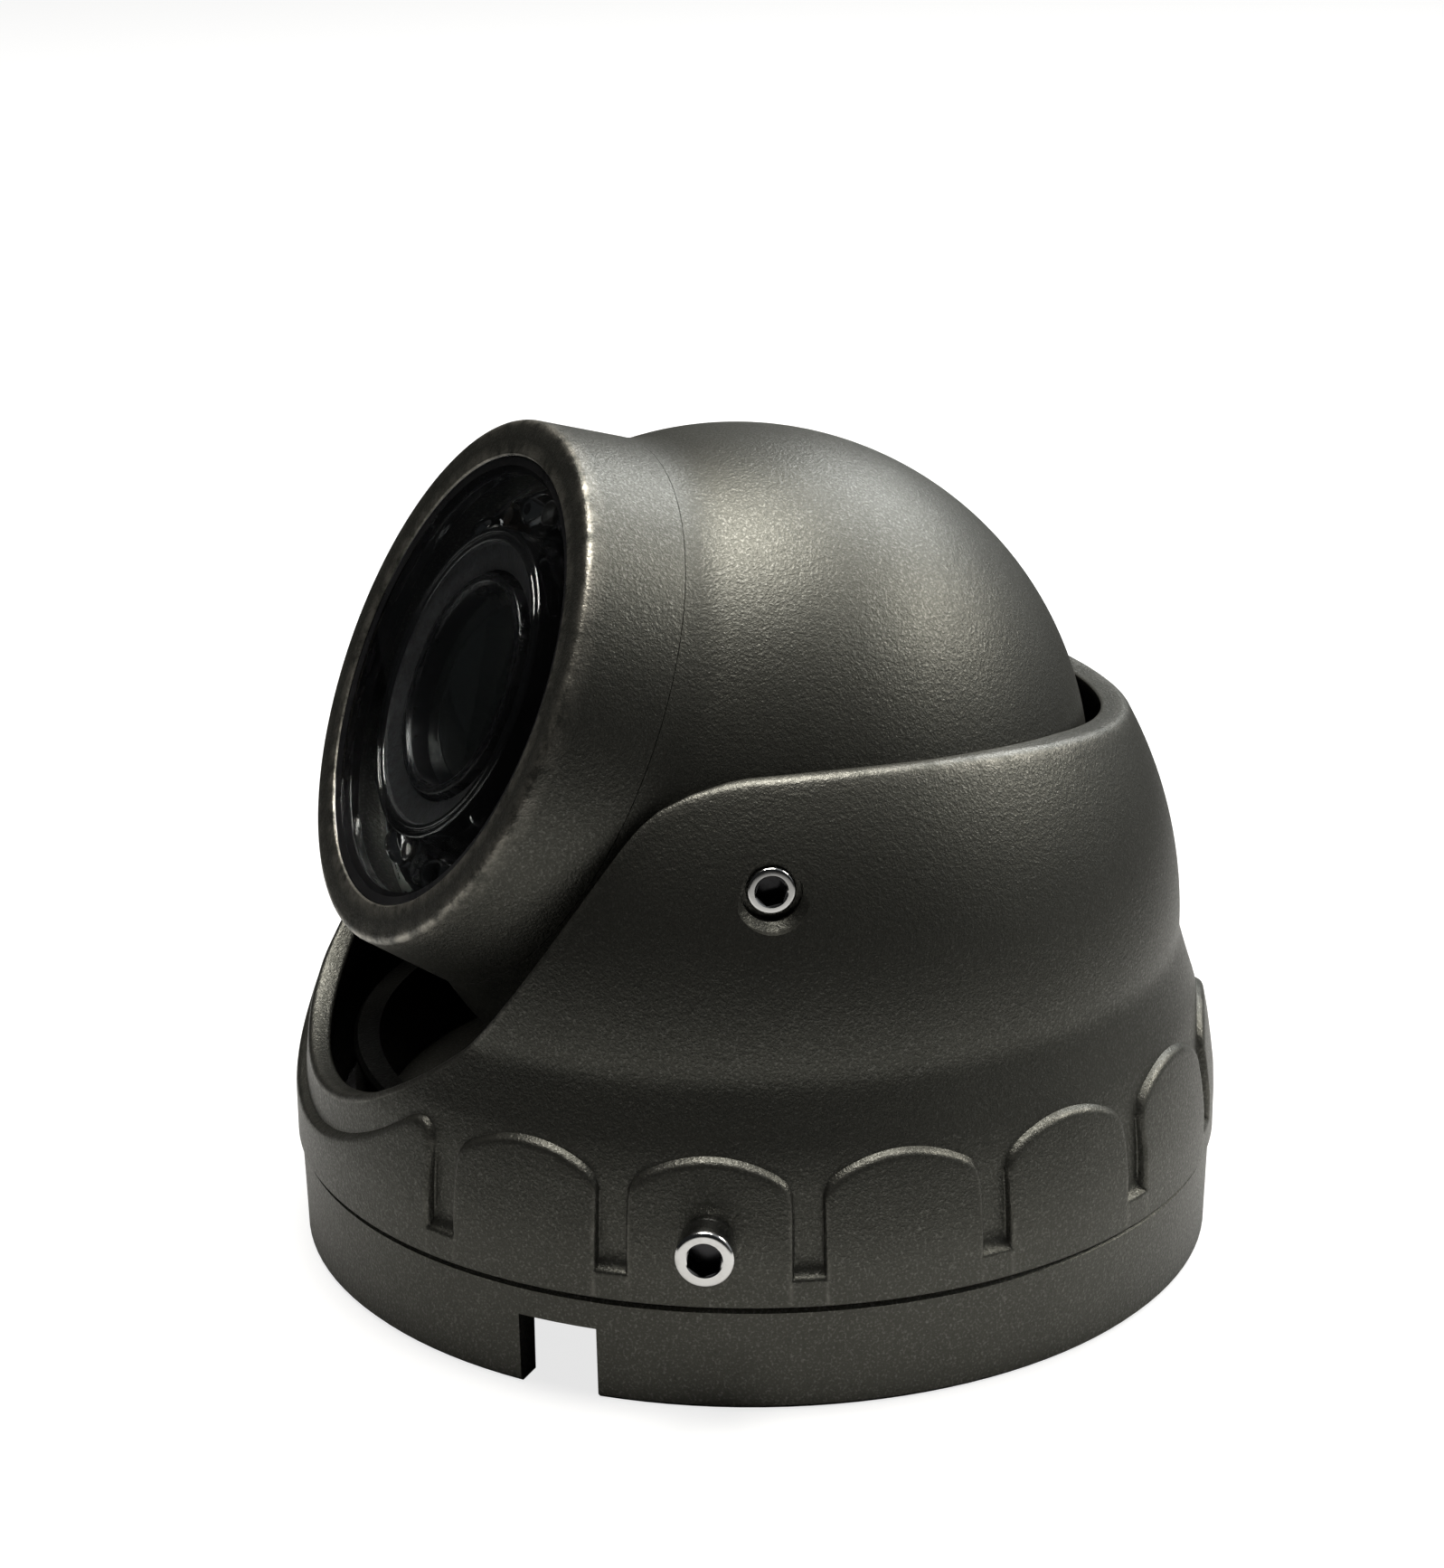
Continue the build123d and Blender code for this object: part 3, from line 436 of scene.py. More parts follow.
def prism(name, sides, across, low, high, place=None):
    """A straight prism with `sides` flats, `across` them, standing on Z."""
    r = across / 2 / math.cos(math.pi / sides)
    turns = [2 * math.pi * k / sides for k in range(sides)]
    ring = [(r * math.cos(a), r * math.sin(a)) for a in turns]
    points = [(x, y, low) for x, y in ring] + [(x, y, high) for x, y in ring]
    faces = [tuple(range(sides)), tuple(range(sides, 2 * sides))]
    faces += [(k, (k + 1) % sides, sides + (k + 1) % sides, sides + k) for k in range(sides)]
    return mesh_of(name, points, faces, place)


def baked(thing):
    """The object's mesh with its modifiers worked in and taken off."""
    bpy.context.view_layer.update()
    done = bpy.data.meshes.new_from_object(thing.evaluated_get(bpy.context.evaluated_depsgraph_get()))
    thing.modifiers.clear()
    thing.data = done
    return done


def cut(thing, cutters):
    """Takes the cutters' solids away from the object."""
    for cutter in cutters:
        tool = add_object("cutter", cutter)
        knife = thing.modifiers.new("cut", "BOOLEAN")
        knife.operation, knife.solver, knife.object = "DIFFERENCE", "EXACT", tool
        baked(thing)
        bpy.data.objects.remove(tool)


def carved(mesh, cutters):
    """The mesh with the cutters' solids taken away."""
    thing = add_object(mesh.name, mesh)
    cut(thing, cutters)
    done = thing.data
    bpy.data.objects.remove(thing)
    return done


def joined(mesh, other):
    """The first mesh with the second added to it."""
    both = bmesh.new()
    both.from_mesh(mesh)
    both.from_mesh(other)
    both.to_mesh(mesh)
    both.free()
    return mesh


def finish_piece(name, thing, body, slot, materials, *replaced, sharp=math.radians(32)):
    """Names a made object, gives it its finishes and hands it to its body."""
    thing.name = name
    mesh = thing.data
    mesh.name = name
    zones = [polygon.material_index for polygon in mesh.polygons]
    mesh.materials.clear()
    for material in materials:
        mesh.materials.append(material)
    mesh.polygons.foreach_set("material_index", [min(z, len(materials) - 1) for z in zones])
    mesh.shade_smooth()
    mesh.set_sharp_from_angle(angle=sharp)
    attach(thing, body)
    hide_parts(*replaced)


def radial_place(azimuth, reach, z):
    """A frame at an azimuth whose Z points straight out from the pan axis."""
    a = math.radians(azimuth)
    out = Vector((math.sin(a), -math.cos(a), 0))
    side = Vector((math.cos(a), math.sin(a), 0))
    turn = Matrix((side, out.cross(side), out)).transposed().to_4x4()
    return Matrix.Translation(out * reach + Vector((0, 0, z))) @ turn


# ---- cover ------------
DOME_R, DOME_Z = 43.0, 32.3
INNER_DOME_R = 40.6
RIB_PITCH, RIB_GAP = 22.5, 2.9
RIB_TOP_Z, RIB_SPRING_Z, RIB_CORNER = 24.7, 22.1, 2.6
RIB_FOOT_Z = 13.3
WIDE_PITCHES = 3
MOUTH_R, MOUTH_Z, LIP = 31.2, 51.0, 3.9
RIM_Z, RIM_ARC_R = 57.7, 157.0
RIM_EDGE, RIM_INNER_EDGE = 0.75, 0.45
SEAT_R = BALL_R + 0.35
TABLE_STEP = 0.1
profile_z = np.arange(8.0, 66.0, TABLE_STEP)


def smoothed(heights, radii, reach):
    """A radius table through (height, radius) points, its corners eased over `reach` mm."""
    table = np.interp(profile_z, heights, radii)
    window = np.hanning(int(reach / TABLE_STEP) * 2 + 3)
    padded = np.pad(table, len(window) // 2, mode="edge")
    return np.convolve(padded, window / window.sum(), "valid")


dome_heights = np.arange(31.6, 66.1, 0.4)
dome_radii = np.sqrt(DOME_R ** 2 - (dome_heights - DOME_Z) ** 2)
SKIRT = smoothed([8, 14.0, 17.9, 22.4, 25.0, 26.8, 28.4, 30.0, 31.0, *dome_heights],
                 [46.0, 46.0, 45.85, 45.4, 44.85, 44.25, 43.75, 43.28, 43.02, *dome_radii], 0.9)
BAND = smoothed([8, 15.8, 18.0, 22.0, 25.4, 66], [BAND_R, BAND_R, 46.75, 46.15, 45.45, 30], 0.8)
HOLLOW_Z = [8, 20.0, 29.0, DOME_Z, *np.arange(33.0, 66.1, 0.5)]
HOLLOW_R = [43.4, 43.4, 41.6, INNER_DOME_R,
            *[math.sqrt(INNER_DOME_R ** 2 - (z - DOME_Z) ** 2) for z in np.arange(33.0, 66.1, 0.5)]]


def table_at(table, z):
    return np.interp(z, profile_z, table)


def swing_of(azimuth):
    """The azimuth as an angle from the cover's front, -180 to 180."""
    return (azimuth + 180) % 360 - 180


def half_rib(pitches):
    """Half the width of a rib that spans so many pitches."""
    return math.sin(math.radians(RIB_PITCH / 2 * pitches)) * BAND_R - RIB_GAP / 2


def ease_min(a, b, reach):
    """The smaller of two depths, eased over `reach` where they meet."""
    h = np.clip(0.5 + 0.5 * (b - a) / reach, 0, 1)
    return b * (1 - h) + a * h - reach * h * (1 - h)


def plain_rib_depth(x, z):
    """How far inside an ordinary rib's outline a point is; negative outside it."""
    half = half_rib(1)
    rise = RIB_TOP_Z - RIB_SPRING_Z
    arch_r = (half ** 2 + rise ** 2) / (2 * rise)
    arch_z = RIB_TOP_Z - arch_r
    corner_x = half - RIB_CORNER
    corner_z = arch_z + math.sqrt((arch_r - RIB_CORNER) ** 2 - corner_x ** 2)
    x = np.abs(x)
    side = half - x
    arch = arch_r - np.hypot(x, z - arch_z)
    corner = RIB_CORNER - np.hypot(x - corner_x, z - corner_z)
    outside_spoke = (x - corner_x) * (corner_z - arch_z) > (z - corner_z) * corner_x
    in_corner = (x > corner_x) & (z > corner_z) & outside_spoke
    return np.where(in_corner, corner, np.minimum(side, np.where(z > corner_z, arch, side)))


def wide_rib_depth(x, z):
    """The same for the wide rib under the opening, whose top follows the opening's edge."""
    half = half_rib(WIDE_PITCHES)
    qx = np.abs(x) - (half - RIB_CORNER)
    qz = z - (RIB_TOP_Z - 0.55 - RIB_CORNER)
    block = RIB_CORNER - np.hypot(np.maximum(qx, 0), np.maximum(qz, 0)) - np.minimum(np.maximum(qx, qz), 0)
    lip = np.hypot(x, z - MOUTH_Z) - MOUTH_R - LIP
    return ease_min(block, lip, 1.4)


def rib_depth(azimuth, z):
    azimuth = swing_of(azimuth)
    nearest = np.round(azimuth / RIB_PITCH) * RIB_PITCH
    across = BAND_R * np.sin(np.radians(azimuth - nearest))
    wide = np.abs(azimuth) < RIB_PITCH / 2 * WIDE_PITCHES
    return np.where(wide, wide_rib_depth(BAND_R * np.sin(np.radians(azimuth)), z), plain_rib_depth(across, z))


def cover_radius(azimuth, z):
    """The cover's outside, ribs and all."""
    depth = rib_depth(azimuth, z)
    soft = np.interp(depth, [-0.12, 0.0, 0.15, 0.35, 0.65], [0, 0.3, 0.66, 0.90, 1.0])
    crisp = np.interp(depth, [-0.10, 0.0, 0.10, 0.30], [0, 0.6, 0.9, 1.0])
    high = np.clip((z - 19.5) / 2.5, 0, 1)
    high = np.where(np.abs(swing_of(azimuth)) < 30, 1.0, high)
    raised = soft * high + crisp * (1 - high)
    foot = [RIB_FOOT_Z - 0.1, RIB_FOOT_Z + 0.1, RIB_FOOT_Z + 0.5, RIB_FOOT_Z + 1.2]
    raised = np.maximum(raised, np.interp(z, foot, [1, 0.9, 0.35, 0]))
    return table_at(SKIRT, z) * (1 - raised) + table_at(BAND, z) * raised


def hollow_radius(azimuth, z):
    """The inside: the bore and the inner dome, opened out where the ball sits."""
    a = np.radians(azimuth)
    along = -np.cos(a) * ball_centre.y
    left = SEAT_R ** 2 - (z - ball_centre.z) ** 2 - ball_centre.y ** 2 + along ** 2
    seat = along + np.sqrt(np.maximum(left, 0))
    return np.maximum(np.interp(z, HOLLOW_Z, HOLLOW_R), np.where(left > 0, seat, 0))


def rim_height(azimuth):
    """Where the cover's edge is at an azimuth: the opening in front, the dipping rim elsewhere."""
    swing = np.abs(swing_of(azimuth))
    z = np.arange(19.0, 59.0, 0.05)
    radius = table_at(SKIRT, z)
    side = np.interp(z, [53.5, 54.8, 56.1, 57.0, 57.8, 59], [MOUTH_R, 31.35, 31.95, 32.75, 34.0, 38.0])
    out = []
    for a in np.radians(swing):
        x = radius * math.sin(a)
        opening = np.where(z < MOUTH_Z, MOUTH_R - np.hypot(x, z - MOUTH_Z), side - x)
        y = radius * math.cos(a)
        over = z - (RIM_Z - RIM_ARC_R + np.sqrt(RIM_ARC_R ** 2 - y ** 2))
        free = np.maximum(opening, over) if a < math.pi / 2 else over
        i = max(int(np.argmax(free > 0)), 1)
        out.append(z[i - 1] + 0.05 * -free[i - 1] / (free[i] - free[i - 1]))
    return np.array(out)


def cover_columns():
    """Azimuths of the mesh's upright lines, gathered close together at the sides of the ribs."""
    near = [-0.6, -0.45, -0.3, -0.18, -0.08, 0.0, 0.08, 0.2, 0.7]
    out = []
    for k in range(16):
        if k in (1, 15):
            continue
        pitches = WIDE_PITCHES if k == 0 else 1
        half = half_rib(pitches)
        inner = np.linspace(-(half - 1.2), half - 1.2, 15 * pitches)
        xs = [*inner, *[half + n for n in near], *[-half - n for n in near], half + RIB_GAP / 2]
        out += [k * RIB_PITCH + math.degrees(math.asin(x / BAND_R)) for x in xs]
    return np.unique(np.round(np.array(out) % 360, 4))


def rib_top(columns):
    """The height of the rib's upper edge at each column; beside a rib, that of its corner."""
    low, high = np.full(len(columns), 14.7), np.full(len(columns), 26.0)
    swing = swing_of(columns)
    wide = np.abs(swing) < RIB_PITCH / 2 * WIDE_PITCHES
    nearest = np.where(wide, 0, np.round(swing / RIB_PITCH) * RIB_PITCH)
    pitches = np.where(nearest == 0, WIDE_PITCHES, 1)
    half = np.sin(np.radians(RIB_PITCH / 2 * pitches)) * BAND_R - RIB_GAP / 2 - 0.03
    across = np.clip(BAND_R * np.sin(np.radians(swing - nearest)), -half, half)
    for _ in range(30):
        mid = (low + high) / 2
        inside = np.where(nearest == 0, wide_rib_depth(across, mid), plain_rib_depth(across, mid)) > 0
        low, high = np.where(inside, mid, low), np.where(inside, high, mid)
    return (low + high) / 2


def on_cover(azimuth, radius, z):
    a = np.radians(azimuth)
    return np.stack([radius * np.sin(a), -radius * np.cos(a), z * np.ones_like(a)], -1)


def azimuth_of(points):
    return np.degrees(np.arctan2(points[:, 0], -points[:, 1])) % 360


def unwrapped(azimuth, near):
    return near + (azimuth - near + 180) % 360 - 180


def unit(v):
    return v / np.linalg.norm(v, axis=-1, keepdims=True)


def cover_mesh():
    """The housing as one closed sheet of quads: outside, rounded rim, inside and foot."""
    columns = cover_columns()
    rim_z = rim_height(columns)
    rim = on_cover(columns, table_at(SKIRT, rim_z), rim_z)
    along = unit(np.roll(rim, -1, 0) - np.roll(rim, 1, 0))
    slope = (table_at(SKIRT, rim_z + 0.2) - table_at(SKIRT, rim_z - 0.2)) / 0.4
    normal = unit(on_cover(columns, np.ones_like(columns), -slope))
    down = unit(np.cross(along, normal))
    swing = np.abs(swing_of(columns))
    back = np.clip((swing - 57) / 15, 0, 1)[:, None]
    outside = on_cover(columns, np.ones_like(columns), 0 * columns)
    inward = unit((1 - back) * np.array([[0, 1.0, 0]]) - back * outside)

    top = rib_top(columns)
    squeeze = np.minimum(1, (top - 14.6) / 3.0)
    rows, wear = [], []

    def add_row(points, mark=0.0):
        rows.append(points)
        wear.append(np.broadcast_to(mark, len(columns)))

    def add_level(z, azimuth=None):
        azimuth = columns if azimuth is None else azimuth
        depth = rib_depth(azimuth, z)
        mark = np.exp(-((depth - 0.22) / 0.22) ** 2)
        add_row(on_cover(azimuth, cover_radius(azimuth, z), z), mark)

    for z in (COVER_Z0 + 0.3, 11.4, 12.4, 13.05, 13.2, 13.3, 13.4, 13.55, 13.8, 14.15, 14.5):
        add_level(np.full(len(columns), z))
    for share in (0.33, 0.66, 1.0):
        add_level(14.5 + (top - 3.0 * squeeze - 14.5) * share)
    for offset in (-2.2, -1.4, -0.9, -0.65, -0.5, -0.35, -0.22, -0.12, -0.04):
        add_level(top + offset * squeeze)
    for offset in (0.05, 0.12, 0.25, 0.6):
        add_level(top + offset)
    edge = rim + down * RIM_EDGE
    edge_azimuth = unwrapped(azimuth_of(edge), columns)
    for t in np.linspace(0, 1, 38)[1:-1]:
        z = (top + 0.6) * (1 - t) + edge[:, 2] * t
        add_level(z, columns + (edge_azimuth - columns) * t * t)
    for points in bend(edge, rim, rim + inward * RIM_EDGE, np.linspace(0, 1, 8)):
        add_row(points, 1.0)

    reach = np.zeros(len(columns))
    for _ in range(700):
        spot = rim + inward * reach[:, None]
        clear = np.hypot(spot[:, 0], spot[:, 1]) > hollow_radius(azimuth_of(spot), spot[:, 2])
        reach += np.where(clear, 0.01, 0)
    reach = np.maximum(reach, RIM_EDGE + RIM_INNER_EDGE + 0.2)
    inner = rim + inward * reach[:, None]
    add_row((rim + inward * RIM_EDGE) * 0.5 + (inner - inward * RIM_INNER_EDGE) * 0.5)
    below = inner + down * RIM_INNER_EDGE
    for points in bend(inner - inward * RIM_INNER_EDGE, inner, below, np.linspace(0, 1, 5)):
        add_row(points, 0.6)
    below_azimuth = unwrapped(azimuth_of(below), columns)
    for t in np.linspace(0, 1, 26)[1:]:
        z = below[:, 2] * (1 - t) + (COVER_Z0 + 0.4) * t
        azimuth = below_azimuth + (columns - below_azimuth) * t
        add_row(on_cover(azimuth, hollow_radius(azimuth, z), z))
    for r, z in ((43.75, 0.0), (45.4, 0.0), (BAND_R - 0.35, 0.0), (BAND_R - 0.1, 0.06), (BAND_R, 0.17)):
        add_row(on_cover(columns, np.full(len(columns), r), COVER_Z0 + z + 0 * columns))

    count = len(columns)
    faces = []
    for i in range(len(rows)):
        here, there = i * count, (i + 1) % len(rows) * count
        faces += [(here + k, here + (k + 1) % count, there + (k + 1) % count, there + k)
                  for k in range(count)]
    return mesh_of("cover", np.concatenate(rows), faces, edge=np.concatenate(wear))


# ---- finishes ------------
METAL = {"Metallic": 1.0}
METAL_PAINT = {"Metallic": 0.85}
EYE_FRAME = (tuple(ball_centre * MM), tuple(EYE.to_euler()))


def painted(name, **own):
    """The gunmetal powder coat, with a piece's own values where they differ."""
    usual = dict(Tone=(0.070, 0.070, 0.061), Fleck_Tone=(0.26, 0.26, 0.24), Edge_Tone=(0.20, 0.195, 0.175),
                 Fleck_Scale=3900.0, Fleck_Share=0.40, Roughness=0.42, Edge_Share=0.4)
    return finish(name, "paint", 0.85, 0.08, shader=METAL_PAINT, **dict(usual, **own))


def moulded(name, bump, depth, tone, second, rough, **more):
    return finish(name, "moulded", bump, depth, Tone=tone, Second_Tone=second, Roughness=rough, **more)


def turned(name, bump, depth, tone, frame_at=None, shader=METAL, **more):
    return finish(name, "turned", bump, depth, frame_at, shader, Tone=tone, **more)


def board(name, bump, depth, tone, tracks, **more):
    return finish(name, "board", bump, depth, EYE_FRAME, Tone=tone, Track_Tone=tracks, **more)


def glass(name, tone, smear, shader, **more):
    return finish(name, "glass", shader=shader, Tone=tone, Smear_Tone=smear, **more)


paint = painted("gunmetal_paint")
# the snout's rim edges much lighter than the rest: worn paint and a painted highlight
snout_paint_worn_lit_edges = painted("gunmetal_paint_snout", Edge_Tone=(0.42, 0.40, 0.35), Edge_Share=0.9)
ball_paint = painted("gunmetal_paint_ball", Mottle_Depth=0.5, Mottle_Scale=70.0)
black_gloss = moulded("black_lacquer", 0.05, 0.02, (0.004, 0.004, 0.005), (0.008, 0.008, 0.009), 0.12,
                      shader={"Coat Weight": 1.0, "Coat Roughness": 0.04})
chrome = turned("bright_nickel", 0.1, 0.01, (0.72, 0.72, 0.72), Stain_Tone=(0.4, 0.39, 0.37), Roughness=0.10)
# painted shade for the screws' hex sockets: a dark tone standing in for the shade down in the recess
socket_painted_shade = turned("socket_shade", 0.1, 0.01, (0.045, 0.045, 0.048), shader={"Metallic": 0.9},
                      Stain_Tone=(0.01, 0.01, 0.01), Roughness=0.22)
anodised = turned("black_anodised", 0.25, 0.02, (0.014, 0.014, 0.016), EYE_FRAME, {"Metallic": 0.5},
                  Stain_Tone=(0.03, 0.03, 0.033), Ring_Scale=18000.0, Roughness=0.28)
shield_felt = moulded("speckled_shield", 0.6, 0.12, (0.008, 0.008, 0.009), (0.040, 0.042, 0.046), 0.6,
                      Grain_Scale=2600.0, Patch_Scale=900.0)
clear_glass = glass("window_glass", (0.93, 0.95, 0.95), (0.90, 0.92, 0.92),
                    {"Transmission Weight": 1.0, "IOR": 1.25}, Roughness=0.0, Smear=0.006)
lens_glass = glass("coated_lens", (0.010, 0.013, 0.012), (0.007, 0.009, 0.008),
                   {"Transmission Weight": 0.15, "IOR": 1.4, "Coat Weight": 0.15, "Coat Roughness": 0.03,
                    "Coat Tint": (0.75, 0.95, 0.85, 1)}, Roughness=0.05)
filter_glass = glass("coated_filter", (0.75, 0.25, 0.35), (0.45, 0.5, 0.8), {"Transmission Weight": 0.7})
epoxy = glass("clear_epoxy", (0.55, 0.56, 0.58), (0.45, 0.46, 0.48),
              {"Transmission Weight": 1.0, "IOR": 1.42}, Roughness=0.02)
die_metal = turned("led_die", 0.1, 0.02, (0.75, 0.72, 0.68), shader={"Metallic": 0.8})
seal_rubber = moulded("seal_rubber", 0.2, 0.03, (0.006, 0.006, 0.007), (0.014, 0.014, 0.015), 0.28)
GREEN, GREEN_TRACK = (0.010, 0.055, 0.022), (0.022, 0.10, 0.04)
FINISHES = {
    "felt_ring": moulded("felt", 0.8, 0.2, (0.012, 0.012, 0.013), (0.04, 0.04, 0.042), 0.85,
                         Grain_Scale=1500.0),
    "cradle": moulded("cast_cradle", 0.3, 0.08, (0.006, 0.006, 0.007), (0.011, 0.011, 0.012), 0.6),
    "cradle_screws": turned("zinc_screw", 0.2, 0.02, (0.55, 0.55, 0.56)),
    "swing_cup": moulded("black_nylon", 0.2, 0.05, (0.006, 0.006, 0.007), (0.012, 0.012, 0.013), 0.5),
    "friction_ring": moulded("friction_rubber", 0.5, 0.08, (0.012, 0.012, 0.012), (0.03, 0.03, 0.03), 0.75),
    "window_seal": seal_rubber,
    "led_board": board("black_solder_mask", 0.3, 0.04, (0.006, 0.006, 0.008), (0.018, 0.018, 0.02),
                       Pad_Tone=(0.12, 0.12, 0.115), Roughness=0.22),
    "light_sensor": moulded("amber_resin", 0.1, 0.02, (0.030, 0.018, 0.010), (0.05, 0.03, 0.018), 0.15),
    "lens_holder": moulded("moulded_holder", 0.3, 0.05, (0.014, 0.014, 0.015), (0.03, 0.03, 0.03), 0.4),
    "image_sensor": board("sensor_glass", 0.1, 0.01, (0.03, 0.035, 0.05), (0.10, 0.09, 0.14),
                          Track_Scale=1400.0, Roughness=0.12),
    "sensor_board": board("green_board", 0.4, 0.04, GREEN, GREEN_TRACK),
    "main_board": board("green_main_board", 0.4, 0.04, GREEN, GREEN_TRACK, Track_Scale=520.0),
    "board_chips": moulded("chip_resin", 0.3, 0.03, (0.012, 0.012, 0.012), (0.022, 0.022, 0.022), 0.45),
    "cable_socket": moulded("white_nylon", 0.2, 0.04, (0.68, 0.66, 0.58), (0.78, 0.76, 0.69), 0.42),
    "socket_pins": turned("tinned_brass", 0.1, 0.01, (0.66, 0.56, 0.34)),
    "standoffs": turned("brass", 0.15, 0.02, (0.62, 0.46, 0.2), Stain_Tone=(0.35, 0.24, 0.1), Roughness=0.24),
    "board_screws": turned("board_screw_zinc", 0.2, 0.02, (0.5, 0.5, 0.51), Roughness=0.22),
    "board_frame": turned("machined_frame", 0.3, 0.03, (0.4, 0.4, 0.41), EYE_FRAME, Ring_Scale=9000.0,
                          Roughness=0.3),
    "ball_grommet": moulded("grommet_rubber", 0.4, 0.06, (0.012, 0.012, 0.013), (0.026, 0.026, 0.027), 0.6),
    "inner_element": lens_glass,
    "ir_filter": filter_glass,
}
for name, material in FINISHES.items():
    dress(material, name)


# ---- parts set out on points ------------
def set_out_tree():
    """Geometry nodes that stand a part on every point, its Z along the point's "facing"."""
    tree = bpy.data.node_groups.new("set_out_parts", "GeometryNodeTree")
    sockets = {}
    for label, kind in (("Places", "NodeSocketGeometry"), ("Part", "NodeSocketObject"),
                        ("Size", "NodeSocketFloat"), ("Finish", "NodeSocketMaterial")):
        sockets[label] = tree.interface.new_socket(label, in_out="INPUT", socket_type=kind).identifier
    tree.interface.new_socket("Parts", in_out="OUTPUT", socket_type="NodeSocketGeometry")
    n = Nodes(tree)
    given = tree.nodes.new("NodeGroupInput").outputs
    out = tree.nodes.new("NodeGroupOutput").inputs
    part = n.add("GeometryNodeObjectInfo", {"Object": given["Part"]}, transform_space="ORIGINAL")
    facing = n.add("GeometryNodeInputNamedAttribute", {"Name": "facing"}, data_type="FLOAT_VECTOR")
    turn = n.add("FunctionNodeAlignRotationToVector", {"Vector": facing.outputs["Attribute"]}, axis="Z")
    stand = n.add("GeometryNodeInstanceOnPoints", {
        "Points": given["Places"], "Instance": part.outputs["Geometry"], "Rotation": turn.outputs["Rotation"],
        "Scale": given["Size"]})
    real = n.add("GeometryNodeRealizeInstances", {"Geometry": stand.outputs["Instances"]})
    dressed = n.add("GeometryNodeSetMaterial", {
        "Geometry": real.outputs["Geometry"], "Material": given["Finish"]})
    n.feed(out["Parts"], dressed.outputs["Geometry"])
    return tree, sockets


SET_OUT, SET_OUT_SOCKETS = set_out_tree()


def set_out(name, part_mesh, places, material):
    """One object holding a copy of the part at each (place, facing), worked in as plain mesh."""
    part = add_object(name + "_part", part_mesh)
    mesh = bpy.data.meshes.new(name)
    mesh.from_pydata([Vector(place) * MM for place, _ in places], [], [])
    facing = mesh.attributes.new("facing", "FLOAT_VECTOR", "POINT")
    facing.data.foreach_set("vector", [c for _, way in places for c in way])
    thing = add_object(name, mesh)
    layer = thing.modifiers.new("set_out", "NODES")
    layer.node_group = SET_OUT
    layer[SET_OUT_SOCKETS["Part"]] = part
    layer[SET_OUT_SOCKETS["Size"]] = 1.0
    layer[SET_OUT_SOCKETS["Finish"]] = material
    baked(thing)
    thing.data.polygons.foreach_set("material_index", [0] * len(thing.data.polygons))
    bpy.data.objects.remove(part)
    return thing


def outward(azimuth):
    a = math.radians(azimuth)
    return Vector((math.sin(a), -math.cos(a), 0))


def eye_point(x, y, z):
    return EYE @ Vector((x, y, z))


# ---- cover and its screws ------------
LOCK_AZIMUTHS = (67.5, -157.5, -67.5)
LOCK_Z = 17.3
LOCK_SINK = 0.25
LOCK_HEAD_R, LOCK_HEAD_H, LOCK_KEY = 2.75, 3.0, 3.0
WASHER_T = 1.1
WASHER_SEAT = BAND_R - LOCK_SINK
SEAT_CUT_R, SEAT_CUT_H = 3.05, 3
SET_AZIMUTHS = (77.7, -77.7)
SET_R, SET_KEY, SET_POCKET_R = 2.25, 2.6, 2.8
SET_Z = ball_centre.z + 2.0      # they stand a little above the eyeball's centre
SET_SINK, SET_CLEAR = 0.6, 0.3   # below the wall's outside, and off the ball
SET_HOLE_FOOT = 33               # inside the hollow


def wall_reach(azimuth, height):
    """How far the cover's outside lies from the eyeball's axis, level and at this azimuth."""
    a = math.radians(azimuth)
    side = math.sin(a) * ball_centre.y
    return math.sqrt(float(table_at(SKIRT, height)) ** 2 - side ** 2) - math.cos(a) * abs(ball_centre.y)


set_seat = wall_reach(SET_AZIMUTHS[0], SET_Z)
SET_TOP = set_seat - SET_SINK

cover = add_object("cover", cover_mesh())
seat = [(0, 0), (SEAT_CUT_R, 0), (SEAT_CUT_R, SEAT_CUT_H), (0, SEAT_CUT_H)]
cutters = [lathe("seat", seat, 48, radial_place(a, WASHER_SEAT, LOCK_Z)) for a in LOCK_AZIMUTHS]
hole_r, ledge, brim = SET_R + 0.05, set_seat - 1.3, SET_POCKET_R + 0.7
pocket = [(0, SET_HOLE_FOOT), (hole_r, SET_HOLE_FOOT), (hole_r, ledge), (SET_POCKET_R, ledge),
          (SET_POCKET_R, set_seat - 0.4), (SET_POCKET_R + 0.15, set_seat - 0.2), (brim, set_seat + 0.35),
          (brim, set_seat + 1.6), (0, set_seat + 1.6)]
for a in SET_AZIMUTHS:
    place = Matrix.Translation((0, ball_centre.y, 0)) @ radial_place(a, 0, SET_Z)
    cutters.append(lathe("pocket", pocket, 64, place))
cut(cover, cutters)
finish_piece("cover", cover, "cover", "painted_cover", [paint], "cover_housing")


SIXTH_TURN = Matrix.Rotation(math.pi / 6, 4, "Z")


def mark_sockets(thing, places, reach, top):
    """Gives the faces down in each screw's socket the second finish, the painted shade of the recess."""
    for polygon in thing.data.polygons:
        for place, way in places:
            off = polygon.center / MM - Vector(place)
            height = off.dot(way)
            if (off - way * height).length < reach and top - 4 < height < top:
                polygon.material_index = 1


def screw_places(azimuths, reach, centre):
    """Where screws stand round a centre, and the way each one faces."""
    return [(outward(a) * reach + Vector(centre), outward(a)) for a in azimuths]


def socket(key, top, foot, dish, flares):
    """Cutters for a hexagon socket from `foot` up through `top`, with a small dish round its mouth."""
    mouth, brim = (key / 2 + flare for flare in flares)
    return [prism("socket", 6, key, foot, top + 1, SIXTH_TURN),
            lathe("dish", [(0, top - dish), (mouth, top - dish), (brim, top + 0.2), (0, top + 0.2)], 48)]


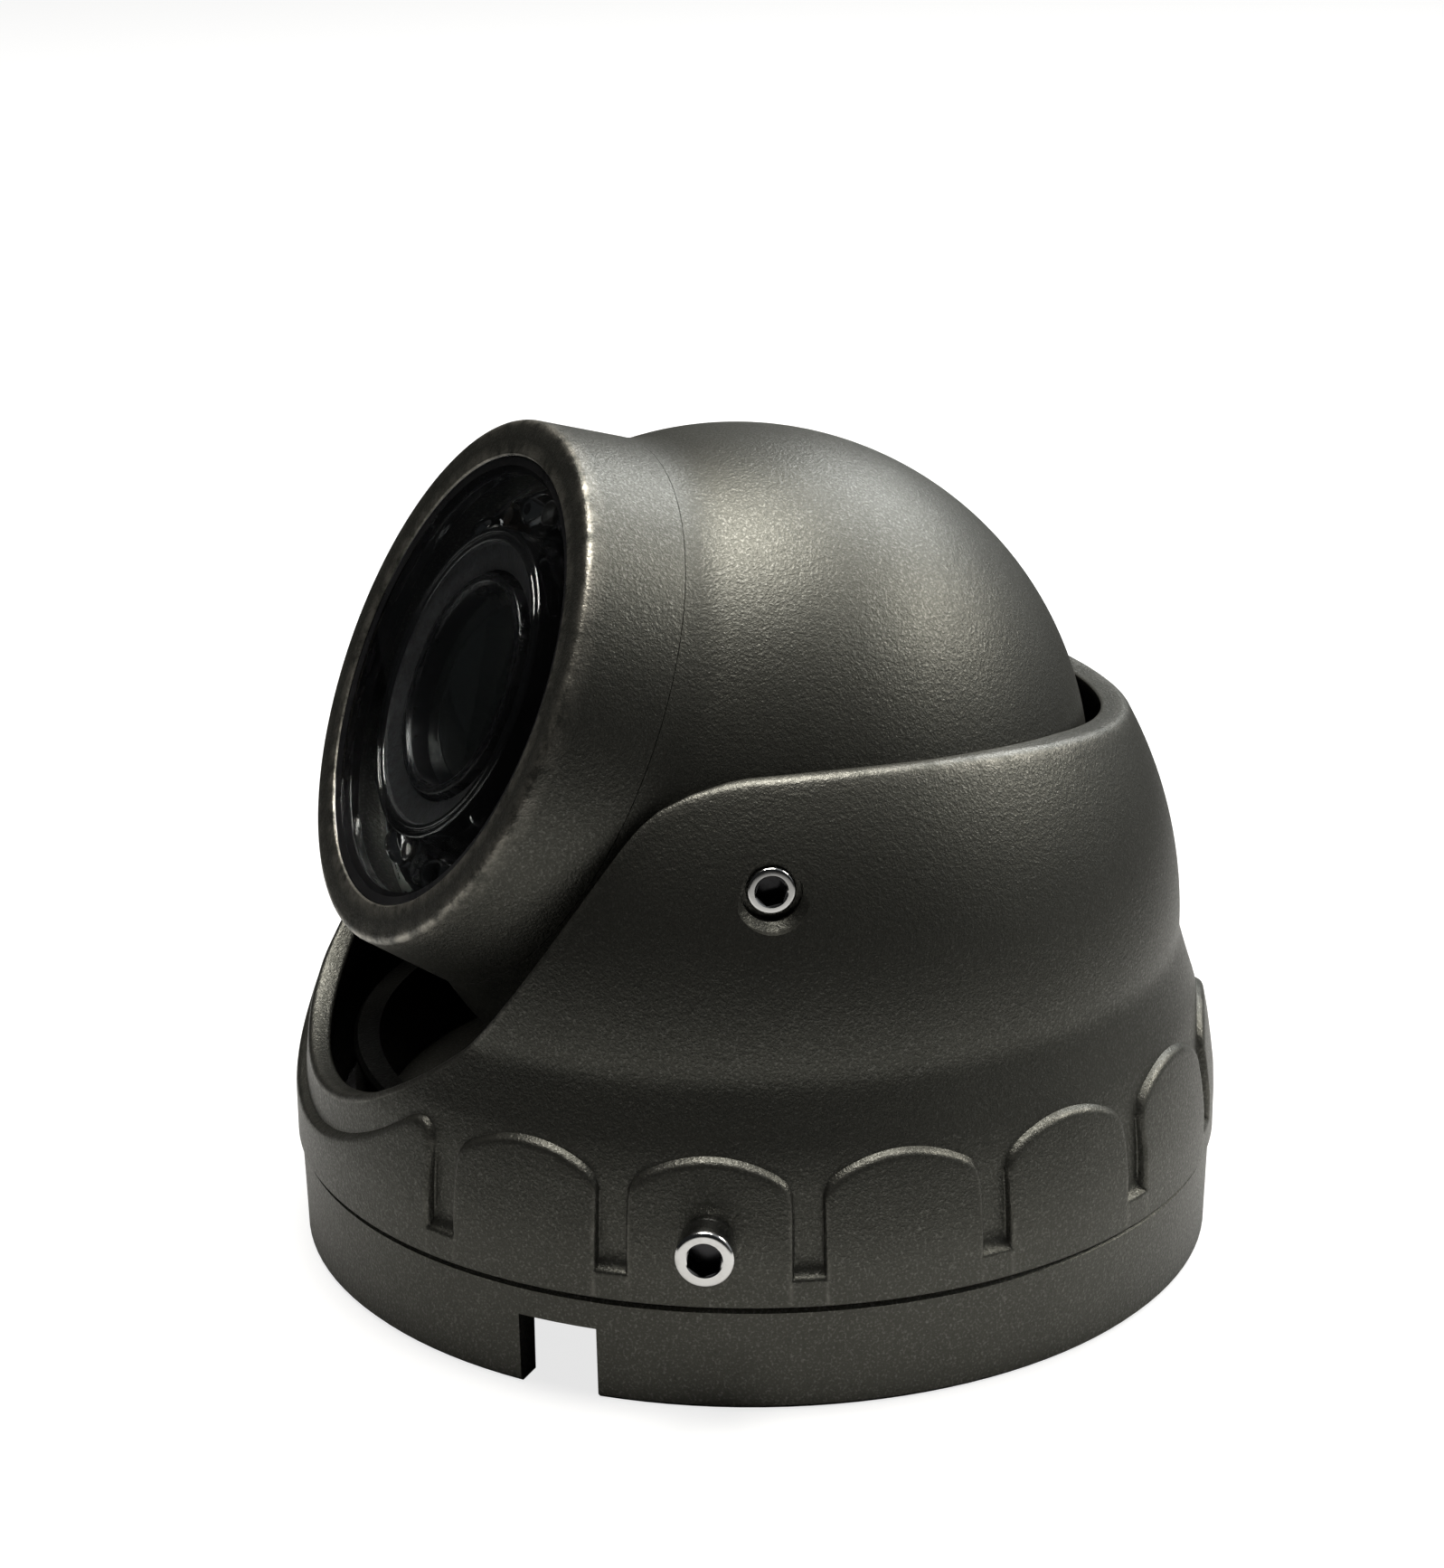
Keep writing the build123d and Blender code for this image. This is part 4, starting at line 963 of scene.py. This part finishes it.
def cap_screw():
    """A socket cap screw standing on z = 0."""
    r, h = LOCK_HEAD_R, LOCK_HEAD_H
    head = lathe("lock_screw", rounded([(0, 0, 0), (1.5, 0, 0), (r, 0, 0.2), (r, h, 0.5), (0, h, 0)], 6), 72)
    head = carved(head, socket(LOCK_KEY, h, h * 0.25, 0.12, (0.1, 0.45)))
    return joined(head, lathe("shank", [(0, -7.2), (1.1, -7.2), (1.45, -6.8), (1.45, 0.1), (0, 0.1)], 32))


def set_screw():
    """A set screw with its socket end at z = 0 and its cup point below."""
    foot = BALL_R + SET_CLEAR - SET_TOP
    body = lathe("set_screw", rounded([(0, foot, 0), (SET_R - 0.5, foot, 0), (SET_R, foot + 0.4, 0),
                                       (SET_R, 0, 0.3), (0, 0, 0)]), 64)
    return carved(body, socket(SET_KEY, 0, -2.2, 0.1, (0.15, 0.5)))


SCREW_LOOK = [chrome, socket_painted_shade]
lock_places = screw_places(LOCK_AZIMUTHS, WASHER_SEAT + WASHER_T, (0, 0, LOCK_Z))
lock_screws = set_out("lock_screws", cap_screw(), lock_places, chrome)
mark_sockets(lock_screws, lock_places, LOCK_KEY / 2 + 0.2, LOCK_HEAD_H - 0.1)
finish_piece("lock_screws_bright", lock_screws, "cover", "bright_screw", SCREW_LOOK, "lock_screws")

washer = lathe("washer", rounded([(1.55, 0, 0.1), (2.6, 0, 0.15), (2.6, WASHER_T, 0.3),
                                  (1.55, WASHER_T, 0.1)]), 64)
washer_places = screw_places(LOCK_AZIMUTHS, WASHER_SEAT, (0, 0, LOCK_Z))
lock_washers = set_out("washers", washer, washer_places, chrome)
finish_piece("lock_washers_bright", lock_washers, "cover", "washer", [chrome], "lock_washers")

set_places = screw_places(SET_AZIMUTHS, SET_TOP, (0, ball_centre.y, SET_Z))
set_screws = set_out("set_screws", set_screw(), set_places, chrome)
mark_sockets(set_screws, set_places, SET_KEY / 2 + 0.2, -0.08)
finish_piece("set_screws_steel", set_screws, "cover", "set_screw", SCREW_LOOK, "set_screws")


# ---- eyeball ------------
NOSE_ROOT_R, NOSE_R, NOSE_END = BALL_R * 0.795, BALL_R * 0.742 - 0.01, BALL_R * 0.949
WINDOW_R = NOSE_R - 3.8
WINDOW_TOP = NOSE_END - 0.45
WINDOW_BACK = WINDOW_TOP - 1.2
LEDGE_R, LEDGE_Z = WINDOW_R - 1.4, WINDOW_BACK - 0.3
BORE_R = BALL_R - 10.7
BOARD_Z = NOSE_END - 6.0
LED_COUNT, LED_R = 12, 1.9
LED_CIRCLE_R = LEDGE_R - 0.6 - LED_R - 0.6
SHIELD_R = LED_CIRCLE_R - LED_R - 0.4
SHIELD_BORE_R = SHIELD_R - 4.1
LENS_R = SHIELD_BORE_R - 0.4
GLASS_R = LENS_R - 1.2
CABLE_BORE_R, CABLE_MOUTH_R = 5.05, 5.2
BLEND = 2.4          # how far the hollow blend between ball and snout reaches each way

root_z = math.sqrt(BALL_R ** 2 - NOSE_ROOT_R ** 2)
cone = unit(np.array((NOSE_R - NOSE_ROOT_R, NOSE_END - root_z)))
seam = np.array((NOSE_ROOT_R, root_z)) + cone * BLEND


def ball_mesh():
    hole = math.asin(CABLE_MOUTH_R / BALL_R)
    turn_in = math.asin(NOSE_ROOT_R / BALL_R) + BLEND / BALL_R
    arc = [(BALL_R * math.sin(a), BALL_R * math.cos(a)) for a in np.linspace(math.pi - hole, turn_in, 110)]
    start, corner = np.array(arc[-1]), np.array((NOSE_ROOT_R, root_z))
    blend = bend(start, corner, seam, np.linspace(0.1, 1, 10))
    end = [(seam[0] - 0.08, seam[1] + 0.02), (BORE_R + 0.2, seam[1] + 0.02), (BORE_R, seam[1] - 0.2),
           (BORE_R, -12.0), (17.0, -26.5), (8.0, -31.0), (CABLE_BORE_R, -31.0),
           (CABLE_BORE_R, -34.6)]
    return lathe("ball", [*arc, *blend, *end], 220, EYE)


def snout_mesh():
    low = seam + cone * 0.04
    near_rim = np.array((NOSE_R, NOSE_END)) - cone * 2.2
    # the two edges listed last, the front rim and the window's lip, are marked lighter: rubbed paint and a
    # painted highlight
    return lathe("snout", rounded([
        (low[0] - 0.06, low[1], 0.05), (low[0] + 0.02, low[1] + 0.05, 0), (*near_rim, 0),
        (NOSE_R, NOSE_END, 0.8), (NOSE_R - 2.0, NOSE_END, 0),
        (WINDOW_R + 0.28, NOSE_END, 0.12), (WINDOW_R + 0.1, NOSE_END - 0.25, 0.05),
        (WINDOW_R + 0.1, LEDGE_Z, 0.05),
        (LEDGE_R, LEDGE_Z, 0.15), (LEDGE_R, LEDGE_Z - 1.2, 0.1), (BORE_R - 1.6, LEDGE_Z - 3.0, 0),
        (BORE_R - 1.6, low[1], 0)], 7), 220, EYE, lambda r, z: int(r < WINDOW_R + 0.2 and z < NOSE_END - 0.2),
        [(NOSE_R - 0.15, NOSE_END - 0.2, 0.9), (WINDOW_R + 0.28, NOSE_END, 0.5)])


eye_pieces = [
    ("ball", ball_mesh(), "painted_ball", [ball_paint], "ball_shell"),
    ("snout", snout_mesh(), "painted_snout", [snout_paint_worn_lit_edges, black_gloss], "snout_shell"),
    ("window", lathe("window", rounded([(0, WINDOW_BACK, 0), (WINDOW_R, WINDOW_BACK, 0.1),
                                        (WINDOW_R, WINDOW_TOP, 0.2), (0, WINDOW_TOP, 0)]), 160, EYE),
     "glass", [clear_glass], "window_glass"),
    ("bead", lathe("bead", rounded([
        (WINDOW_R + 0.08, WINDOW_BACK + 0.1, 0), (WINDOW_R + 0.08, WINDOW_TOP + 0.2, 0.1),
        (WINDOW_R - 0.85, WINDOW_TOP + 0.02, 0.1), (WINDOW_R + 0.02, WINDOW_TOP + 0.02, 0)]), 160, EYE),
     "bead_rubber", [seal_rubber], "window_bead"),
]
SHIELD_STEPS = ((0.2, 1.6, 0.1), (0, 1.4, 0.1), (0, 0, 0.35), (0.55, 0, 0.15), (0.65, 0.3, 0.1),
                (0.85, 0.3, 0.1), (0.95, 0.05, 0.15), (1.4, 0.1, 0.2), (1.6, 0.6, 0.15))
shield = [(SHIELD_BORE_R, BOARD_Z, 0), (SHIELD_R - 0.2, BOARD_Z, 0),
          *[(SHIELD_R - inset, WINDOW_BACK - sink, size) for inset, sink, size in SHIELD_STEPS],
          (SHIELD_BORE_R, WINDOW_BACK - 1.2, 0.1)]
eye_pieces.append(("light_shield_ring", lathe(
    "shield", rounded(shield, 6), 160, EYE, lambda r, z: int(r < SHIELD_R - 1.5 and z > WINDOW_BACK - 1.3)),
    "shield_rubber", [black_gloss, shield_felt], "light_shield"))

lens_front = WINDOW_BACK - 0.5
barrel_foot = BOARD_Z - 19.5 + 4.4
thread = [(6.0 - 0.22 * (k % 2), barrel_foot + 0.5 + 0.35 * k, 0) for k in range(21)]
barrel = [
    (5.0, barrel_foot, 0), (5.6, barrel_foot, 0.1), *thread, (6.0, barrel_foot + 8.1, 0.1),
    (LENS_R - 2.6, barrel_foot + 9.6, 0.2), (LENS_R, barrel_foot + 11.8, 0.3), (LENS_R, lens_front, 0.35),
    (GLASS_R + 0.35, lens_front, 0.2), (GLASS_R, lens_front - 0.5, 0.1), (GLASS_R, lens_front - 2.6, 0.1),
    (8.6, lens_front - 2.65, 0.1), (8.3, lens_front - 3.1, 0.1), (6.6, lens_front - 3.15, 0.1),
    (6.3, lens_front - 3.9, 0.15), (5.0, lens_front - 9.0, 0)]
eye_pieces.append(("lens_barrel_black", lathe("barrel", rounded(barrel), 128, EYE), "lens_barrel", [anodised],
                   "lens_barrel"))

CAP_R = 26.0         # the front element's curve
cap_foot = lens_front - 0.4 - CAP_R
cap = [(r, cap_foot + math.sqrt(CAP_R ** 2 - r * r)) for r in np.linspace(GLASS_R - 0.05, 0, 24)]
front = lathe("front", [(0, lens_front - 2.6), (GLASS_R - 0.05, lens_front - 2.6), *cap], 128, EYE)
eye_pieces.append(("front_lens_glass", front, "front_lens", [lens_glass], "front_element"))
for name, mesh, slot, materials, *stands_for in eye_pieces:
    finish_piece(name, add_object(name, mesh), "eyeball", slot, materials, *stands_for)

# the ring of infrared lamps: a clear lens over a die in a dished cup
led_places = []
for k in range(LED_COUNT):
    a = 2 * math.pi * (k + 0.5) / LED_COUNT
    led_places.append((eye_point(LED_CIRCLE_R * math.cos(a), LED_CIRCLE_R * math.sin(a), BOARD_Z), lens_axis))
top = [(LED_R * math.sin(a), 0.75 + LED_R * 0.92 * math.cos(a)) for a in np.linspace(math.pi / 2, 0, 10)]
led_lens = lathe("led_lens", [(0, 0.04), (LED_R + 0.3, 0.04), (LED_R + 0.3, 0.35), (LED_R, 0.4), *top], 32)
led_cup = lathe("led_cup", [(0, 0.10), (0.85, 0.10), (0.85, 0.45), (0.78, 0.45), (0.55, 0.22), (0, 0.22)], 24)
led_cup = joined(led_cup, prism("led_die", 4, 0.75, 0.22, 0.40))
for name, mesh, look in (("led_lenses", led_lens, epoxy), ("led_dies", led_cup, die_metal)):
    finish_piece(name, set_out(name, mesh, led_places, look), "eyeball", "led", [look], "leds")


# ---- base ------------
COLLAR_INSET, COLLAR_Z = 4.5, 10.3


def paint_shade_on_collar(material, radius, height):
    """Paints shade on what lies inside this radius and above this height: the paint's colour cut to 0.12 of
    itself, a painted shade on the collar that sits in the dark inside the cover.
    """
    n = Nodes(material.node_tree)
    shader = n.tree.nodes["Principled BSDF"]
    painted = shader.inputs["Base Color"].links[0].from_socket
    axes = n.add("ShaderNodeSeparateXYZ", {0: n.tree.nodes["Texture Coordinate"].outputs["Object"]}).outputs
    across = n.math("SQRT", n.plus(n.math("POWER", axes["X"], 2.0), n.math("POWER", axes["Y"], 2.0)))
    inner = n.ramp(across, radius * MM, (radius + 0.2) * MM, 1.0, 0.0)
    above = n.ramp(axes["Z"], height * MM, (height + 0.2) * MM)
    # painted shade: the collar's paint darkened to near black
    collar_shade = n.scaled(painted, 0.12)
    n.feed(shader.inputs["Base Color"], n.mix(n.times(inner, above), painted, collar_shade))


# the base's collar, deep inside the cover, gets painted shade
base_paint = paint.copy()
base_paint.name = "gunmetal_paint_base"
paint_shade_on_collar(base_paint, BAND_R - COLLAR_INSET, COLLAR_Z)
dress(base_paint, "base_ring")

place_camera()
light_studio()


# ---- floor ------------
FLOOR_HALF = 4.0
CARD_FULL, CARD_GONE = 0.10, 0.24    # how far from the pan axis the grey card is plain, and is gone


def floor_finish():
    """Pale and partly self-lit where it is looked at, and a grey card close round the object otherwise."""
    material = bpy.data.materials.new("pale_floor")
    material.use_nodes = True
    tree = material.node_tree
    n = Nodes(tree)
    pale = tree.nodes["Principled BSDF"]
    set_inputs(pale, {"Base Color": (0.3, 0.3, 0.3, 1), "Roughness": 0.7, "Emission Color": (1, 1, 1, 1),
                      "Emission Strength": 0.78})
    where = n.add("ShaderNodeTexCoord").outputs["Object"]
    away = n.add("ShaderNodeVectorMath", {0: where}, operation="LENGTH").outputs["Value"]
    card = n.add("ShaderNodeBsdfDiffuse", {"Color": n.ramp(away, CARD_FULL, CARD_GONE, 0.50, 0.02)})
    n.feed(tree.nodes["Material Output"].inputs["Surface"], n.seen_or(card, pale))
    return material


floor_mesh = bpy.data.meshes.new("studio_floor")
corners = [(x * FLOOR_HALF, y * FLOOR_HALF, 0) for x, y in ((-1, -1), (1, -1), (1, 1), (-1, 1))]
floor_mesh.from_pydata(corners, [], [(0, 1, 2, 3)])
floor = add_object("studio_floor", floor_mesh)
floor_mesh.materials.append(floor_finish())
